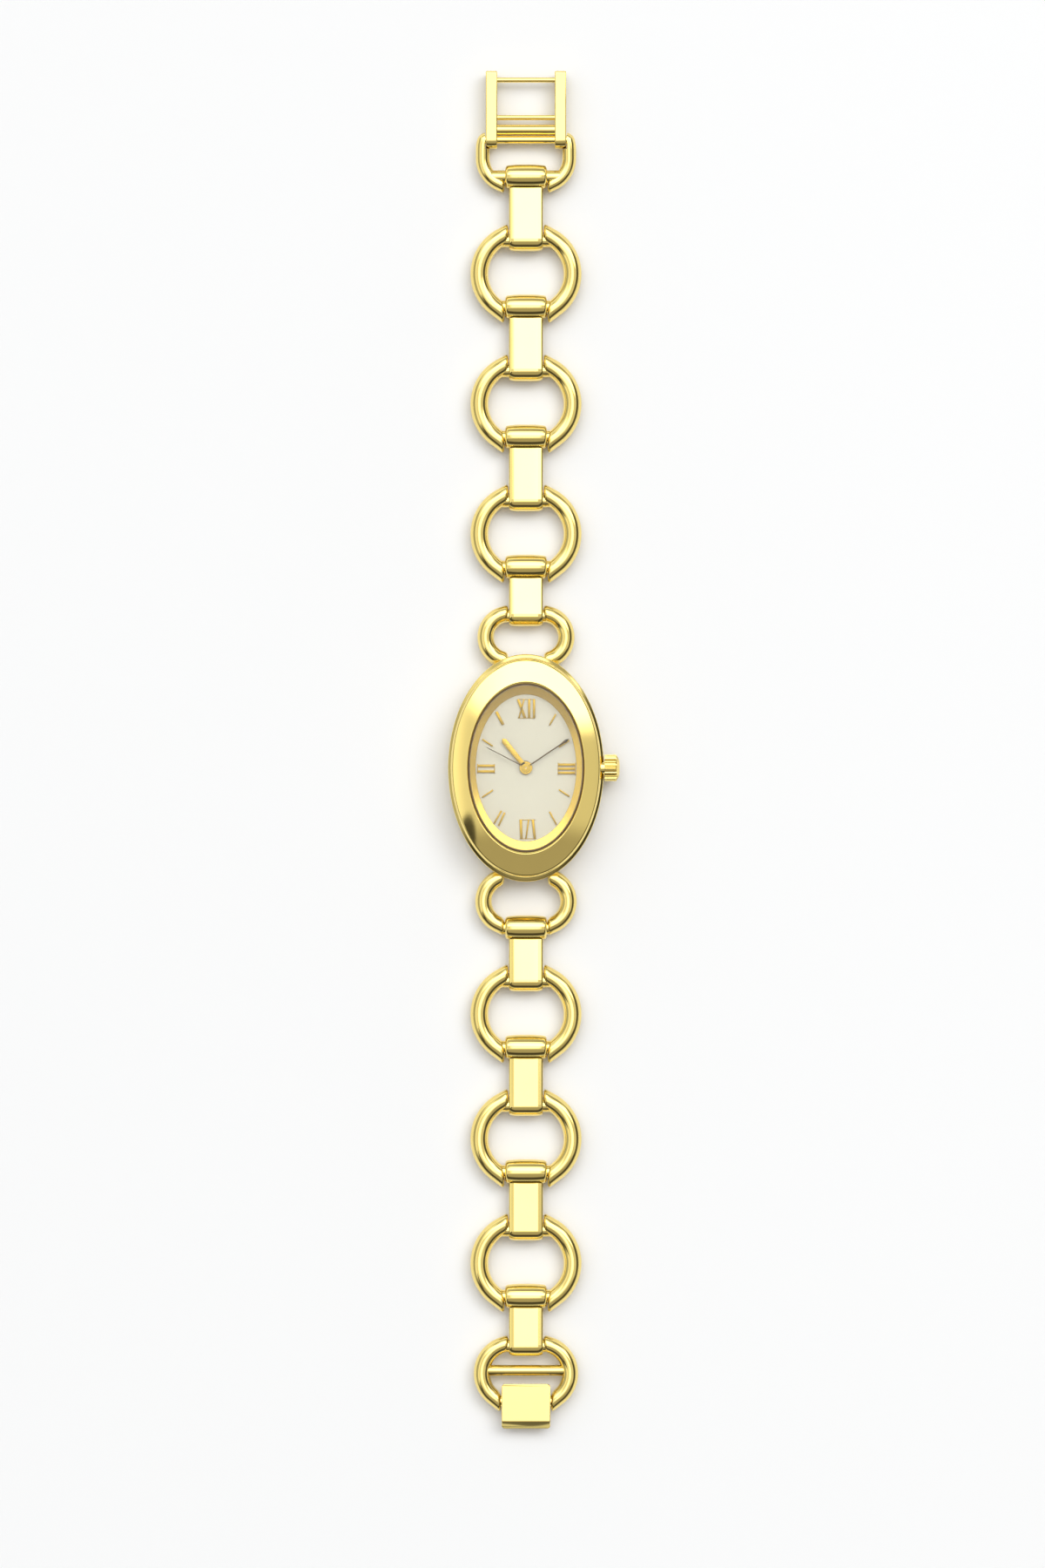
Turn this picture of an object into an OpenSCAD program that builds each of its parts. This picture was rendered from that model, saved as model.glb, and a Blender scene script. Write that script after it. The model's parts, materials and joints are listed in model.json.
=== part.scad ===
// Ladies' bracelet watch with an oval case and a chain of rings and folded links.
// Millimetres, Z up. The watch lies flat: +Y runs to 12 o'clock and the ladder end,
// +X runs to the crown, and the origin is the dial's axis on the case back's outer face.

/* [Case] */
// Half width of the case body
case_a = 10.0; // [8:0.1:13]
// Length over width of every oval of the case
case_ratio = 1.46; // [1:0.01:1.8]
// How far the thin flange stands out past the case body
flange_over = 0.55; // [0.3:0.05:1]
// Height of the case back's outer plate
back_h = 0.7; // [0.4:0.05:1.2]
// Top of the case body, where the bezel and the dial's face are
case_top = 4.5; // [4.4:0.1:6]
// Height of the bezel at its inner edge
bezel_h = 2.2; // [1.8:0.1:3]
// Fall of the bezel's face from its inner to its outer edge
bezel_drop = 0.84; // [0.3:0.02:1.2]
// Width of the bezel's face
bezel_w = 2.3; // [1.8:0.1:3]
// Width of the sloping ring between the bezel's opening and the dial
slope_w = 1.0; // [0.6:0.1:1.4]

/* [Crown] */
// Outer radius of the crown
crown_r = 1.8; // [1.2:0.05:2.4]
// Length of the crown
crown_len = 2.1; // [1.5:0.1:3]
// Number of flutes round the crown
crown_flutes = 24; // [12:1:36]
// Distance the crown pulls out to set the time
crown_travel = 0.8; // [0.4:0.1:1.2]

/* [Hands] */
// Length of the hour hand over the dial's half width
hour_share = 0.75; // [0.5:0.01:0.85]
// Length of the minute hand over the dial's half width
minute_share = 1.04; // [0.9:0.01:1.05]
// Length of the second hand over the dial's half width
second_share = 0.91; // [0.75:0.01:1]
// Hour hand's angle from the +Y axis, clockwise
hour_at = 321; // [0:1:360]
// Minute hand's angle from the +Y axis, clockwise
minute_at = 56; // [0:1:360]
// Second hand's angle from the +Y axis, clockwise
second_at = 297.5; // [0:0.5:360]

/* [Bracelet] */
// Radius of a link's wide barrel, which also sets the height of every hinge
barrel_r = 1.7; // [1.5:0.05:2.2]
// Width of the barrel
barrel_w = 5.66; // [4.8:0.02:6.2]
// Width of a link's plate and of its narrow loop
plate_w = 4.6; // [3.8:0.1:5]
// Outer radius of the narrow loop
loop_r = 1.45; // [1.25:0.05:1.6]
// Thickness of a link's plate
plate_t = 0.8; // [0.4:0.05:1]
// Radius of the hinge bars
bar_r = 0.9; // [0.7:0.05:1]
// Half width of a ring along the middle of its tube
ring_r = 6.33; // [5.8:0.05:7]
// Tube radius of a ring
ring_t = 1.22; // [1:0.02:1.4]
// Distance of a ring's two hinge bars from its centre
ring_bar = 4.5; // [4:0.1:4.8]
// Hinge distance of a long link, which the shorter ones follow
link_len = 8.65; // [8:0.05:10]

/* [Clasp] */
// Outer width of the ladder
ladder_w = 10.9; // [10:0.1:11.4]
// Width of a ladder rail
rail_w = 1.55; // [1.2:0.05:1.8]
// Height of a ladder rail
rail_h = 2.5; // [2:0.1:3]
// Distance from the ladder's hinge to its far end
ladder_len = 9.2; // [8.5:0.1:10.5]
// Clear space between the two thin rungs
slot_gap = 4.4; // [4.2:0.1:5]
// Width of the hook plate
hook_w = 6.6; // [5.5:0.1:6.8]
// Reach of the hook plate from its hinge to its lip
hook_reach = 3.7; // [3:0.1:3.8]

/* [Hidden] */
$fn = 64;
fit = 0.05;
gap = 0.12;
e = 0.02;

// Case levels and ovals
case_b = case_a * case_ratio;
flange_a = case_a + flange_over;
cavity_a = case_a - 1.7;
bezel_a = case_a + 0.1;
aperture_a = bezel_a - bezel_w;
dial_a = aperture_a - slope_w;
back_a = case_a - 0.4;
plug_a = cavity_a - 0.1;
back_in = back_h + 0.5;
flange_z = case_top - 1.4;
flange_t = 0.5;
bezel_top = case_top + bezel_h;
glass_z = bezel_top - 1.0;
gasket_t = 0.3;
glass_a = aperture_a - gasket_t;
slope_a = glass_a + 0.1;
dial_t = 0.4;
dial_plate_a = cavity_a - 0.2;
marker_t = 0.22;

// The dial's marks keep their share of its half width and half length
dial_kx = dial_a / 6.8;
dial_ky = dial_a * case_ratio / 9.928;

// Sphere that gives the bezel's face its fall
bezel_span = bezel_a * bezel_a - aperture_a * aperture_a;
bezel_ball_z = (2 * bezel_top - bezel_drop - bezel_span / bezel_drop) / 2;
bezel_ball_r = sqrt(pow(bezel_top - bezel_ball_z, 2) + aperture_a * aperture_a);

// Movement and motion work
movement_a = 6.0;
movement_b = 8.0;
plate_z = 2.3;
plate_top = 3.5;
bridge_z = 1.5;
battery_r = 2.9;
battery_y = -4.6;
battery_z = 1.45;
battery_top = 3.4;
clamp_t = 0.15;
clamp_x = battery_r + 1.1;
coil_r = 0.7;
coil_len = 6.4;
coil_y = 4.9;
coil_z = 2.3;
dial_hole = 0.64;
second_r = 0.14;
cannon_r = 0.34;
cannon_bore = 0.18;
hour_r = 0.54;
hour_bore = 0.39;
motion_x = 3.0;
cannon_teeth = 12;
minute_teeth = 36;
motion_pinion_teeth = 10;
hour_teeth = 40;
cannon_module = 2 * motion_x / (cannon_teeth + minute_teeth);
hour_module = 2 * motion_x / (motion_pinion_teeth + hour_teeth);
low_gear_z = plate_top + 0.08;
low_gear_t = 0.17;
high_gear_z = low_gear_z + 0.22;
high_gear_t = 0.15;
post_r = 0.25;
second_wheel_r = 1.35;
second_wheel_z = 1.95;
hand_t = 0.12;
hour_z = case_top + marker_t + 0.13;
minute_z = hour_z + hand_t + 0.15;
second_z = minute_z + hand_t + 0.08;

// Crown and stem
crown_z = 2.9;
crown_x = flange_a + 0.1;
tube_r = 1.0;
tube_bore = 0.8;
stem_r = 0.4;
stem_square = 0.5;
stem_way = 1.1;
clutch_x = 3.9;
clutch_len = 1.4;
clutch_r = 0.75;
stem_start = clutch_x - crown_travel + 0.9;

// Hinges along the bracelet
hinge_z = barrel_r;
upper_first = link_len - 2.05;
lower_first = link_len - 1.45;
lower_link = link_len - 0.75;
lower_last = link_len - 1.95;
bore_r = bar_r + fit;
ring_flat = 0.7;
ring_arc = ring_r - ring_flat;
plate_low = 0.7;
plate_in = 1.25;
lug_12_w = 13.2;
lug_6_w = 13.8;
lug_t = 1.12;
lug_12_y = case_b + 3.16;
lug_12_reach = 3.15;
lug_12_bar = case_b + 6.05;
lug_6_y = -case_b - 3.5;
lug_6_reach = 3.35;
lug_6_bar = -case_b - 7.1;
upper_ring_1_y = lug_12_bar + upper_first + ring_bar;
upper_pitch = link_len + 2 * ring_bar;
upper_ring_2_y = upper_ring_1_y + upper_pitch;
upper_ring_3_y = upper_ring_2_y + upper_pitch;
upper_end_y = upper_ring_3_y + ring_bar + link_len;
lower_ring_1_y = lug_6_bar - lower_first - ring_bar;
lower_pitch = lower_link + 2 * ring_bar;
lower_ring_2_y = lower_ring_1_y - lower_pitch;
lower_ring_3_y = lower_ring_2_y - lower_pitch;
lower_end_y = lower_ring_3_y - ring_bar - lower_last;

// Upper end ring, shaped like a D, with the ladder on its straight bar
d_t = 0.95;
d_half = ladder_w / 2 + 0.42;
d_r = 4.8;
d_bar = 2.5;
d_centre = upper_end_y + d_bar;
d_floor = 1.2;
ladder_y = d_centre + 2.55;
ladder_bar_r = 0.55;
rung_r = 0.35;
stay_r = 0.5;
rung_1_y = ladder_y + ladder_len - 1.1;
rung_2_y = rung_1_y - slot_gap - 2 * rung_r;
stay_y = ladder_y + 1.2;

// Lower end ring with the hook on its far bar
oval_half = 6.0;
oval_reach = 4.0;
oval_t = 1.1;
oval_bar = 3.75;
oval_y = lower_end_y - oval_bar;
hook_y = oval_y - oval_bar;
hook_bar_r = 0.75;
hook_loop_r = 1.15;
hook_t = 0.5;
hook_fall = 1.0;
hook_brow = 0.4;
cross_r = 0.7;
cross_y = oval_y + 0.4;
cross_len = 11.2;

gold = [0.93, 0.74, 0.32];
steel = [0.72, 0.73, 0.75];
brass = [0.80, 0.66, 0.36];
rubber = [0.12, 0.12, 0.13];

// Shapes shared by several parts

// Upright oval of the case's proportion between two heights
module oval(a, z0, z1) {
    translate([0, 0, z0])
    linear_extrude(height = z1 - z0)
    scale([1, case_ratio])
    circle(r = a);
}

// Oval ring of the case's proportion
module oval_ring(a, a_in, z0, z1) {
    difference() {
        oval(a, z0, z1);
        oval(a_in, z0 - e, z1 + e);
    }
}

// Ball stretched to the case's proportion
module oval_ball(r, z) {
    scale([1, case_ratio, 1])
    translate([0, 0, z])
    sphere(r = r, $fn = 240);
}

// Cylinder along X, centred
module rod(r, w, y = 0, z = 0) {
    translate([-w / 2, y, z])
    rotate([0, 90, 0])
    cylinder(r = r, h = w);
}

// Pair of round arms, each an arc of tube about (x, 0), kept where they lie beyond the cut
module arms(x, r, t, cut) {
    for (s = [0, 1])
        mirror([s, 0, 0])
        intersection() {
            translate([x, 0, 0])
            rotate_extrude()
            translate([r, 0])
            circle(r = t, $fn = 32);
            translate([cut, -r - 2 * t, -2 * t])
            cube([x + r + 2 * t, 2 * r + 4 * t, 4 * t]);
        }
}

// Spur gear with straight-sided teeth and some backlash
module gear(teeth, m, h, phase = 0) {
    step = 360 / teeth;
    root = m * (teeth / 2 - 1.15);
    tip = m * (teeth / 2 + 0.85);
    marks = [[-0.3, root], [-0.1, tip], [0.1, tip], [0.3, root]];
    linear_extrude(height = h)
    polygon([for (k = [0 : teeth - 1]) for (p = marks)
        let(a = phase + (k + p[0]) * step) [p[1] * cos(a), p[1] * sin(a)]]);
}

// Folded link with its wide barrel on the X axis and its narrow loop at y = -len; its plate falls from the
// loop's top to the barrel's flank
module link(len) {
    half = barrel_w / 2;
    tilt = asin((loop_r - plate_low) / (len - barrel_r));
    edge = 0.3;
    barrel = [[bore_r, -half], [barrel_r - edge, -half], [barrel_r - 0.08, -half + 0.12], [barrel_r, -half + 0.45],
        [barrel_r, half - 0.45], [barrel_r - 0.08, half - 0.12], [barrel_r - edge, half], [bore_r, half]];
    top = loop_r - 0.04;
    side = plate_w / 2;
    section = [[-side, top - plate_t], [-side, top - 0.2], [0.2 - side, top], [side - 0.2, top], [side, top - 0.2],
        [side, top - plate_t]];
    difference() {
        union() {
            rotate([0, 90, 0])
            rotate_extrude()
            polygon(barrel);
            translate([0, -len, 0])
            rotate([-tilt, 0, 0])
            translate([0, len - plate_in, 0])
            rotate([90, 0, 0])
            linear_extrude(height = len - plate_in)
            polygon(section);
            rod(loop_r, plate_w, -len);
        }
        rod(bore_r, barrel_w + 1);
        rod(bore_r, barrel_w + 1, -len);
    }
}

module link_at(len, y) {
    color(gold)
    translate([0, y, hinge_z])
    link(len);
}

// Slightly flattened ring with a wide notch and bar on its -Y side and a narrow one on its +Y side
module chain_ring(y) {
    wide = barrel_w + 2 * gap;
    bar_len = 2 * (ring_flat + sqrt(pow(ring_arc, 2) - pow(ring_bar, 2))) - 0.9;
    color(gold)
    translate([0, y, hinge_z]) {
        difference() {
            arms(ring_flat, ring_arc, ring_t, plate_w / 2 + gap);
            translate([-wide / 2, -ring_r - 2, -2])
            cube([wide, ring_r, 4]);
        }
        rod(bar_r, bar_len, -ring_bar);
        rod(bar_r, bar_len, ring_bar);
    }
}

// Lug with two curved arms soldered to the case's side and the bracelet's first bar between them
module lug(w, y, reach, bar_y, notch) {
    half = w / 2 - lug_t;
    run = half - notch / 2;
    arc_r = (run * run + reach * reach) / (2 * run);
    color(gold)
    difference() {
        translate([0, y, hinge_z]) {
            arms(half - arc_r, arc_r, lug_t, notch / 2);
            rod(bar_r, notch + 1.0, bar_y - y);
        }
        oval(case_a, -1, case_top);
    }
}

// Case

module case_middle() {
    color(gold)
    difference() {
        union() {
            oval(case_a, back_h, case_top);
            oval(flange_a, flange_z, flange_z + flange_t);
        }
        oval(cavity_a, back_h - e, case_top + e);
        translate([cavity_a - 1, 0, crown_z])
        rotate([0, 90, 0])
        cylinder(r = tube_r, h = 4);
    }
}

module bezel() {
    color(gold)
    intersection() {
        oval_ring(bezel_a, aperture_a, case_top, bezel_top + 0.5);
        oval_ball(bezel_ball_r, bezel_ball_z);
    }
}

module crystal() {
    color([0.85, 0.92, 0.95, 0.3]) {
        oval(glass_a, glass_z, bezel_top);
        oval(glass_a - 0.15, bezel_top, bezel_top + 0.15);
    }
}

module crystal_gasket() {
    color([0.9, 0.9, 0.88])
    oval_ring(aperture_a, glass_a, glass_z, glass_z + 0.8);
}

module dial() {
    color([0.92, 0.90, 0.84])
    difference() {
        oval(dial_plate_a, case_top - dial_t, case_top);
        translate([0, 0, case_top - 1])
        cylinder(r = dial_hole, h = 2);
    }
}

// Ring of low steps that slopes from the crystal down to the dial
module dial_ring() {
    steps = 4;
    rise = (glass_z - case_top) / steps;
    color(gold)
    difference() {
        oval(aperture_a, case_top, glass_z);
        for (k = [0 : steps - 1])
            oval(dial_a + (slope_a - dial_a) * k / (steps - 1), case_top + k * rise - (k == 0 ? e : 0), glass_z + e);
    }
}

// Raised bar on the dial: centre, size along and across, turn
module bar_mark(x, y, len, w, turn = 0) {
    translate([x * dial_kx, y * dial_kx, case_top])
    rotate(turn)
    translate([-w * dial_kx / 2, -len * dial_kx / 2, 0])
    cube([w * dial_kx, len * dial_kx, marker_t]);
}

// Place of an hour mark on the dial
module mark_at(x, y) {
    translate([x * dial_kx, y * dial_ky, 0])
    children();
}

// Hour mark that points at the dial's centre
module baton(x, y, len, w) {
    mark_at(x, y)
    bar_mark(0, 0, len, w, atan2(y, x) - 90);
}

// Numerals with a broad and a thin stroke and thin cross bars, upright and centred
module twelve() {
    bar_mark(-0.63, 0, 2.7, 0.34, 20);
    bar_mark(-0.63, 0, 2.65, 0.2, -15.5);
    bar_mark(0.4, 0, 2.6, 0.32);
    bar_mark(1.06, 0, 2.6, 0.32);
    for (s = [-1, 1])
        bar_mark(0.05, s * 1.26, 0.12, 2.35);
}

module three() {
    for (k = [-1 : 1])
        bar_mark(k * 0.55, 0, 2.3, 0.36);
    for (s = [-1, 1])
        bar_mark(0, s * 1.15, 0.16, 1.7);
}

module six() {
    bar_mark(-0.86, 0, 2.6, 0.36, 2);
    bar_mark(-0.02, 0, 2.65, 0.2, -8);
    bar_mark(0.86, 0, 2.65, 0.34, 6);
    for (s = [-1, 1])
        bar_mark(0, s * 1.28, 0.12, 2.2);
}

module nine() {
    for (s = [-1, 1])
        bar_mark(s * 0.38, 0, 2.3, 0.36);
    for (s = [-1, 1])
        bar_mark(0, s * 1.15, 0.16, 1.3);
}

module hour_markers() {
    color([0.62, 0.44, 0.12]) {
        mark_at(0.03, 8.0)
        twelve();
        mark_at(5.5, -0.14)
        rotate(-90)
        three();
        mark_at(0.2, -8.3)
        six();
        mark_at(-5.4, -0.12)
        rotate(90)
        nine();
        baton(3.6, 6.5, 1.75, 0.22);
        baton(5.15, 3.25, 1.7, 0.22);
        baton(5.15, -3.4, 1.7, 0.22);
        baton(3.65, -6.8, 2.0, 0.22);
        for (s = [-1, 1])
            baton(-3.55 + s * 0.26, -6.8 - s * 0.14, 2.0, 0.24);
        baton(-5.2, -3.5, 1.8, 0.22);
        baton(-5.2, 3.4, 1.7, 0.22);
        baton(-3.55, 6.7, 2.0, 0.4);
    }
}

module case_back() {
    color(steel)
    difference() {
        union() {
            oval(back_a, -0.5, back_h);
            oval(plug_a - 0.25, back_h, back_h + 0.3);
            oval(plug_a, back_h + 0.3, back_in);
        }
        translate([-case_a, -case_b, -1])
        cube([2 * case_a, 2 * case_b, 1]);
        translate([-1.5, back_a * case_ratio - 0.6, back_h - 0.25])
        cube([3, 2, 0.5]);
    }
}

module back_gasket() {
    color(rubber)
    oval_ring(cavity_a, plug_a - 0.25, back_h, back_h + 0.3);
}

module crown_tube() {
    color(gold)
    difference() {
        intersection() {
            translate([0, 0, crown_z])
            rotate([0, 90, 0])
            cylinder(r = tube_r, h = crown_x - 0.02);
            translate([cavity_a + 0.05, -2, 0])
            cube([4, 4, 6]);
        }
        translate([cavity_a - 1, 0, crown_z])
        rotate([0, 90, 0])
        cylinder(r = stem_r + fit, h = 4);
        translate([cavity_a + 1.0, 0, crown_z])
        rotate([0, 90, 0])
        cylinder(r = tube_bore, h = 4);
    }
}

// Movement

// Upright oval of the movement's own proportion
module movement_oval(a, b, z0, z1) {
    translate([0, 0, z0])
    linear_extrude(height = z1 - z0)
    scale([1, b / a])
    circle(r = a);
}

module battery_hole(z0, z1) {
    translate([0, battery_y, z0])
    cylinder(r = battery_r + fit, h = z1 - z0);
}

module movement_holder() {
    color([0.93, 0.93, 0.9])
    difference() {
        oval(cavity_a - 0.05, back_in + 0.15, case_top - dial_t);
        movement_oval(movement_a + 0.05, movement_b + 0.05, back_in, case_top);
        translate([movement_a - 1, -stem_way, back_in])
        cube([cavity_a - movement_a + 2, 2 * stem_way, crown_z + stem_way - back_in]);
    }
}

module movement_plate() {
    color(brass)
    union() {
        difference() {
            movement_oval(movement_a, movement_b, plate_z, plate_top);
            battery_hole(plate_z - 1, plate_top + 1);
            translate([0, 0, plate_z - 1])
            cylinder(r = second_r + 0.06, h = 3);
            translate([-coil_len / 2 - 0.3, coil_y - 0.9, plate_z - 1])
            cube([coil_len + 0.6, 1.8, 3]);
            translate([clutch_x - crown_travel - 0.2, -0.95, plate_z - e])
            cube([clutch_len + crown_travel + 0.4, 1.9, 3]);
            translate([clutch_x, 0, crown_z])
            rotate([0, 90, 0])
            cylinder(r = stem_r + fit, h = 4);
        }
        translate([-motion_x, 0, plate_top - 0.4])
        cylinder(r = post_r, h = high_gear_z + high_gear_t + 0.02 - plate_top + 0.4);
    }
}

module train_bridge() {
    color(steel)
    difference() {
        movement_oval(movement_a, movement_b, bridge_z, plate_z);
        battery_hole(bridge_z - 1, plate_z + 1);
        translate([0, 0, bridge_z + 0.35])
        cylinder(r = second_wheel_r + 0.15, h = 3);
        translate([0, 0, bridge_z + 0.1])
        cylinder(r = second_r + 0.03, h = 3);
        translate([-coil_len / 2 - 0.3, coil_y - 0.9, bridge_z - 1])
        cube([coil_len + 0.6, 1.8, 3]);
        translate([clutch_x - crown_travel - 0.2, -0.95, bridge_z + 0.4])
        cube([clutch_len + crown_travel + 0.4, 1.9, 3]);
    }
}

module coil() {
    color([0.72, 0.38, 0.2]) {
        rod(coil_r, coil_len - 1.2, coil_y, coil_z);
        rod(coil_r - 0.35, coil_len, coil_y, coil_z);
        for (s = [-1, 1])
            translate([s * (coil_len / 2 - 0.3) - 0.3, coil_y - 0.9, coil_z - 0.5])
            cube([0.6, 1.8, 1.0]);
    }
}

module battery() {
    color(steel)
    translate([0, battery_y, battery_z]) {
        cylinder(r = battery_r, h = battery_top - battery_z - 0.25);
        cylinder(r = battery_r - 0.5, h = battery_top - battery_z);
    }
}

module battery_clamp() {
    color(brass)
    difference() {
        translate([-clamp_x - 0.4, battery_y - 0.8, battery_z - clamp_t])
        cube([2 * clamp_x + 0.8, 1.6, clamp_t]);
        for (s = [-1, 1])
            translate([s * clamp_x, battery_y, battery_z - 1])
            cylinder(r = 0.25, h = 3);
    }
}

// Hands and motion work, drawn pointing at 12 and turned to the time shown

module tapered_hand(len, w, tip, tail, boss, z) {
    translate([0, 0, z]) {
        cylinder(r = boss, h = hand_t);
        linear_extrude(height = hand_t)
        polygon([[-w / 2, 0], [-w / 2, len * 0.55], [-tip / 2, len], [tip / 2, len], [w / 2, len * 0.55], [w / 2, 0],
            [tip, -tail], [-tip, -tail]]);
    }
}

module hour_hand() {
    color([0.62, 0.44, 0.12])
    difference() {
        rotate(-hour_at)
        tapered_hand(hour_share * dial_a, 0.75, 0.3, 0.9, 0.85, hour_z);
        translate([0, 0, hour_z - 1])
        cylinder(r = hour_r, h = 2);
    }
}

module hour_wheel() {
    color(brass)
    difference() {
        union() {
            translate([0, 0, high_gear_z])
            gear(hour_teeth, hour_module, high_gear_t);
            translate([0, 0, high_gear_z])
            cylinder(r = hour_r, h = hour_z + hand_t - high_gear_z);
        }
        translate([0, 0, low_gear_z])
        cylinder(r = hour_bore, h = 3);
    }
}

module minute_hand() {
    color([0.45, 0.32, 0.1])
    difference() {
        rotate(-minute_at)
        tapered_hand(minute_share * dial_a, 0.42, 0.2, 1.1, 0.62, minute_z);
        translate([0, 0, minute_z - 1])
        cylinder(r = cannon_r, h = 2);
    }
}

module cannon_pinion() {
    color(steel)
    difference() {
        union() {
            translate([0, 0, low_gear_z])
            gear(cannon_teeth, cannon_module, low_gear_t);
            translate([0, 0, low_gear_z])
            cylinder(r = cannon_r, h = minute_z + hand_t - low_gear_z);
        }
        translate([0, 0, low_gear_z - 1])
        cylinder(r = cannon_bore, h = 4);
    }
}

module second_hand() {
    color([0.45, 0.32, 0.1])
    difference() {
        rotate(-second_at)
        tapered_hand(second_share * dial_a, 0.16, 0.12, 1.6, 0.4, second_z);
        translate([0, 0, second_z - 1])
        cylinder(r = second_r, h = 2);
    }
}

module second_wheel() {
    color(brass) {
        translate([0, 0, bridge_z + 0.15])
        cylinder(r = second_r, h = second_z + hand_t - bridge_z - 0.15);
        translate([0, 0, second_wheel_z])
        gear(60, second_wheel_r / 31, 0.15);
    }
}

module minute_wheel() {
    color(brass)
    translate([-motion_x, 0, 0])
    difference() {
        union() {
            translate([0, 0, low_gear_z])
            gear(minute_teeth, cannon_module, low_gear_t, 180 / minute_teeth);
            translate([0, 0, low_gear_z])
            gear(motion_pinion_teeth, hour_module, high_gear_z + high_gear_t - low_gear_z, 180 / motion_pinion_teeth);
        }
        cylinder(r = post_r + 0.03, h = 6);
    }
}

// Crown and stem

module crown() {
    flute_r = PI * crown_r / crown_flutes * 0.55;
    color(gold)
    translate([crown_x, 0, crown_z])
    rotate([0, 90, 0])
    difference() {
        union() {
            cylinder(r = crown_r, h = crown_len * 0.78);
            translate([0, 0, crown_len * 0.78])
            cylinder(r1 = crown_r - 0.15, r2 = crown_r - 0.75, h = crown_len * 0.22);
        }
        for (k = [0 : crown_flutes - 1])
            rotate(360 / crown_flutes * k)
            translate([crown_r + flute_r * 0.25, 0, 0.2])
            cylinder(r = flute_r, h = crown_len, $fn = 16);
        translate([0, 0, -e])
        cylinder(r = stem_r, h = 1.0);
    }
}

module stem() {
    color(steel)
    difference() {
        union() {
            translate([clutch_x + clutch_len + 0.3, 0, crown_z])
            rotate([0, 90, 0])
            cylinder(r = stem_r, h = crown_x + 1.0 - e - clutch_x - clutch_len - 0.3);
            translate([stem_start, -stem_square / 2, crown_z - stem_square / 2])
            cube([clutch_len + 1.0, stem_square, stem_square]);
        }
        translate([crown_x - 0.75, 0, crown_z])
        rotate([0, 90, 0])
        rotate_extrude()
        translate([0.58, 0])
        circle(r = 0.22, $fn = 32);
    }
}

module crown_gasket() {
    color(rubber)
    translate([crown_x - 0.75, 0, crown_z])
    rotate([0, 90, 0])
    rotate_extrude()
    translate([0.58, 0])
    circle(r = 0.21, $fn = 32);
}

module clutch_pinion() {
    color(steel)
    difference() {
        translate([clutch_x, 0, crown_z])
        rotate([0, 90, 0])
        gear(14, 2 * clutch_r / 16, clutch_len);
        translate([clutch_x - 1, -stem_square / 2 - 0.03, crown_z - stem_square / 2 - 0.03])
        cube([4, stem_square + 0.06, stem_square + 0.06]);
    }
}

// Bracelet

module lug_12() {
    lug(lug_12_w, lug_12_y, lug_12_reach, lug_12_bar, plate_w + 2 * gap);
}

module lug_6() {
    lug(lug_6_w, lug_6_y, lug_6_reach, lug_6_bar, barrel_w + 2 * gap);
}

module upper_link_1() {
    link_at(upper_first, lug_12_bar + upper_first);
}

module upper_ring_1() {
    chain_ring(upper_ring_1_y);
}

module upper_link_2() {
    link_at(link_len, upper_ring_2_y - ring_bar);
}

module upper_ring_2() {
    chain_ring(upper_ring_2_y);
}

module upper_link_3() {
    link_at(link_len, upper_ring_3_y - ring_bar);
}

module upper_ring_3() {
    chain_ring(upper_ring_3_y);
}

module upper_link_4() {
    link_at(link_len, upper_end_y);
}

module lower_link_1() {
    link_at(lower_first, lug_6_bar);
}

module lower_ring_1() {
    chain_ring(lower_ring_1_y);
}

module lower_link_2() {
    link_at(lower_link, lower_ring_1_y - ring_bar);
}

module lower_ring_2() {
    chain_ring(lower_ring_2_y);
}

module lower_link_3() {
    link_at(lower_link, lower_ring_2_y - ring_bar);
}

module lower_ring_3() {
    chain_ring(lower_ring_3_y);
}

module lower_link_4() {
    link_at(lower_last, lower_ring_3_y - ring_bar);
}

// Clasp

module upper_end_ring() {
    wide = barrel_w + 2 * gap;
    rise = ladder_y - d_centre;
    arc_x = d_half - d_r;
    color(gold)
    translate([0, d_centre, hinge_z]) {
        difference() {
            for (s = [0, 1])
                mirror([s, 0, 0]) {
                    intersection() {
                        translate([arc_x, 0, 0])
                        rotate(180)
                        rotate_extrude(angle = 180)
                        translate([d_r, 0])
                        circle(r = d_t, $fn = 32);
                        translate([wide / 2, -2 * d_r, -2])
                        cube([2 * d_r, 4 * d_r, 4]);
                    }
                    translate([d_half, 0, 0])
                    rotate([-90, 0, 0])
                    cylinder(r = d_t, h = rise, $fn = 32);
                    translate([d_half, rise, 0])
                    sphere(r = d_t, $fn = 32);
                }
            translate([-ladder_w / 2 - gap, d_floor, -2])
            cube([ladder_w + 2 * gap, 5, 4]);
        }
        rod(bar_r, 2 * (arc_x + sqrt(d_r * d_r - d_bar * d_bar)), -d_bar);
        rod(ladder_bar_r, 2 * d_half, rise);
    }
}

// Ladder rail, rounded at its hinge end, with the bar's hole
module rail(x) {
    color(gold)
    translate([x, ladder_y, hinge_z])
    difference() {
        union() {
            rod(rail_h / 2, rail_w);
            translate([-rail_w / 2, 0, -rail_h / 2])
            cube([rail_w, ladder_len, rail_h]);
        }
        rod(ladder_bar_r + fit, rail_w + 1);
        for (p = [rung_1_y, rung_2_y])
            rod(rung_r, rail_w + 1, p - ladder_y);
        rod(stay_r, rail_w + 1, stay_y - ladder_y);
    }
}

module ladder_rail_left() {
    rail(-(ladder_w - rail_w) / 2);
}

module ladder_rail_right() {
    rail((ladder_w - rail_w) / 2);
}

module ladder_rungs() {
    color(gold) {
        rod(rung_r, ladder_w, rung_1_y, hinge_z);
        rod(rung_r, ladder_w, rung_2_y, hinge_z);
        rod(stay_r, ladder_w, stay_y, hinge_z);
    }
}

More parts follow.
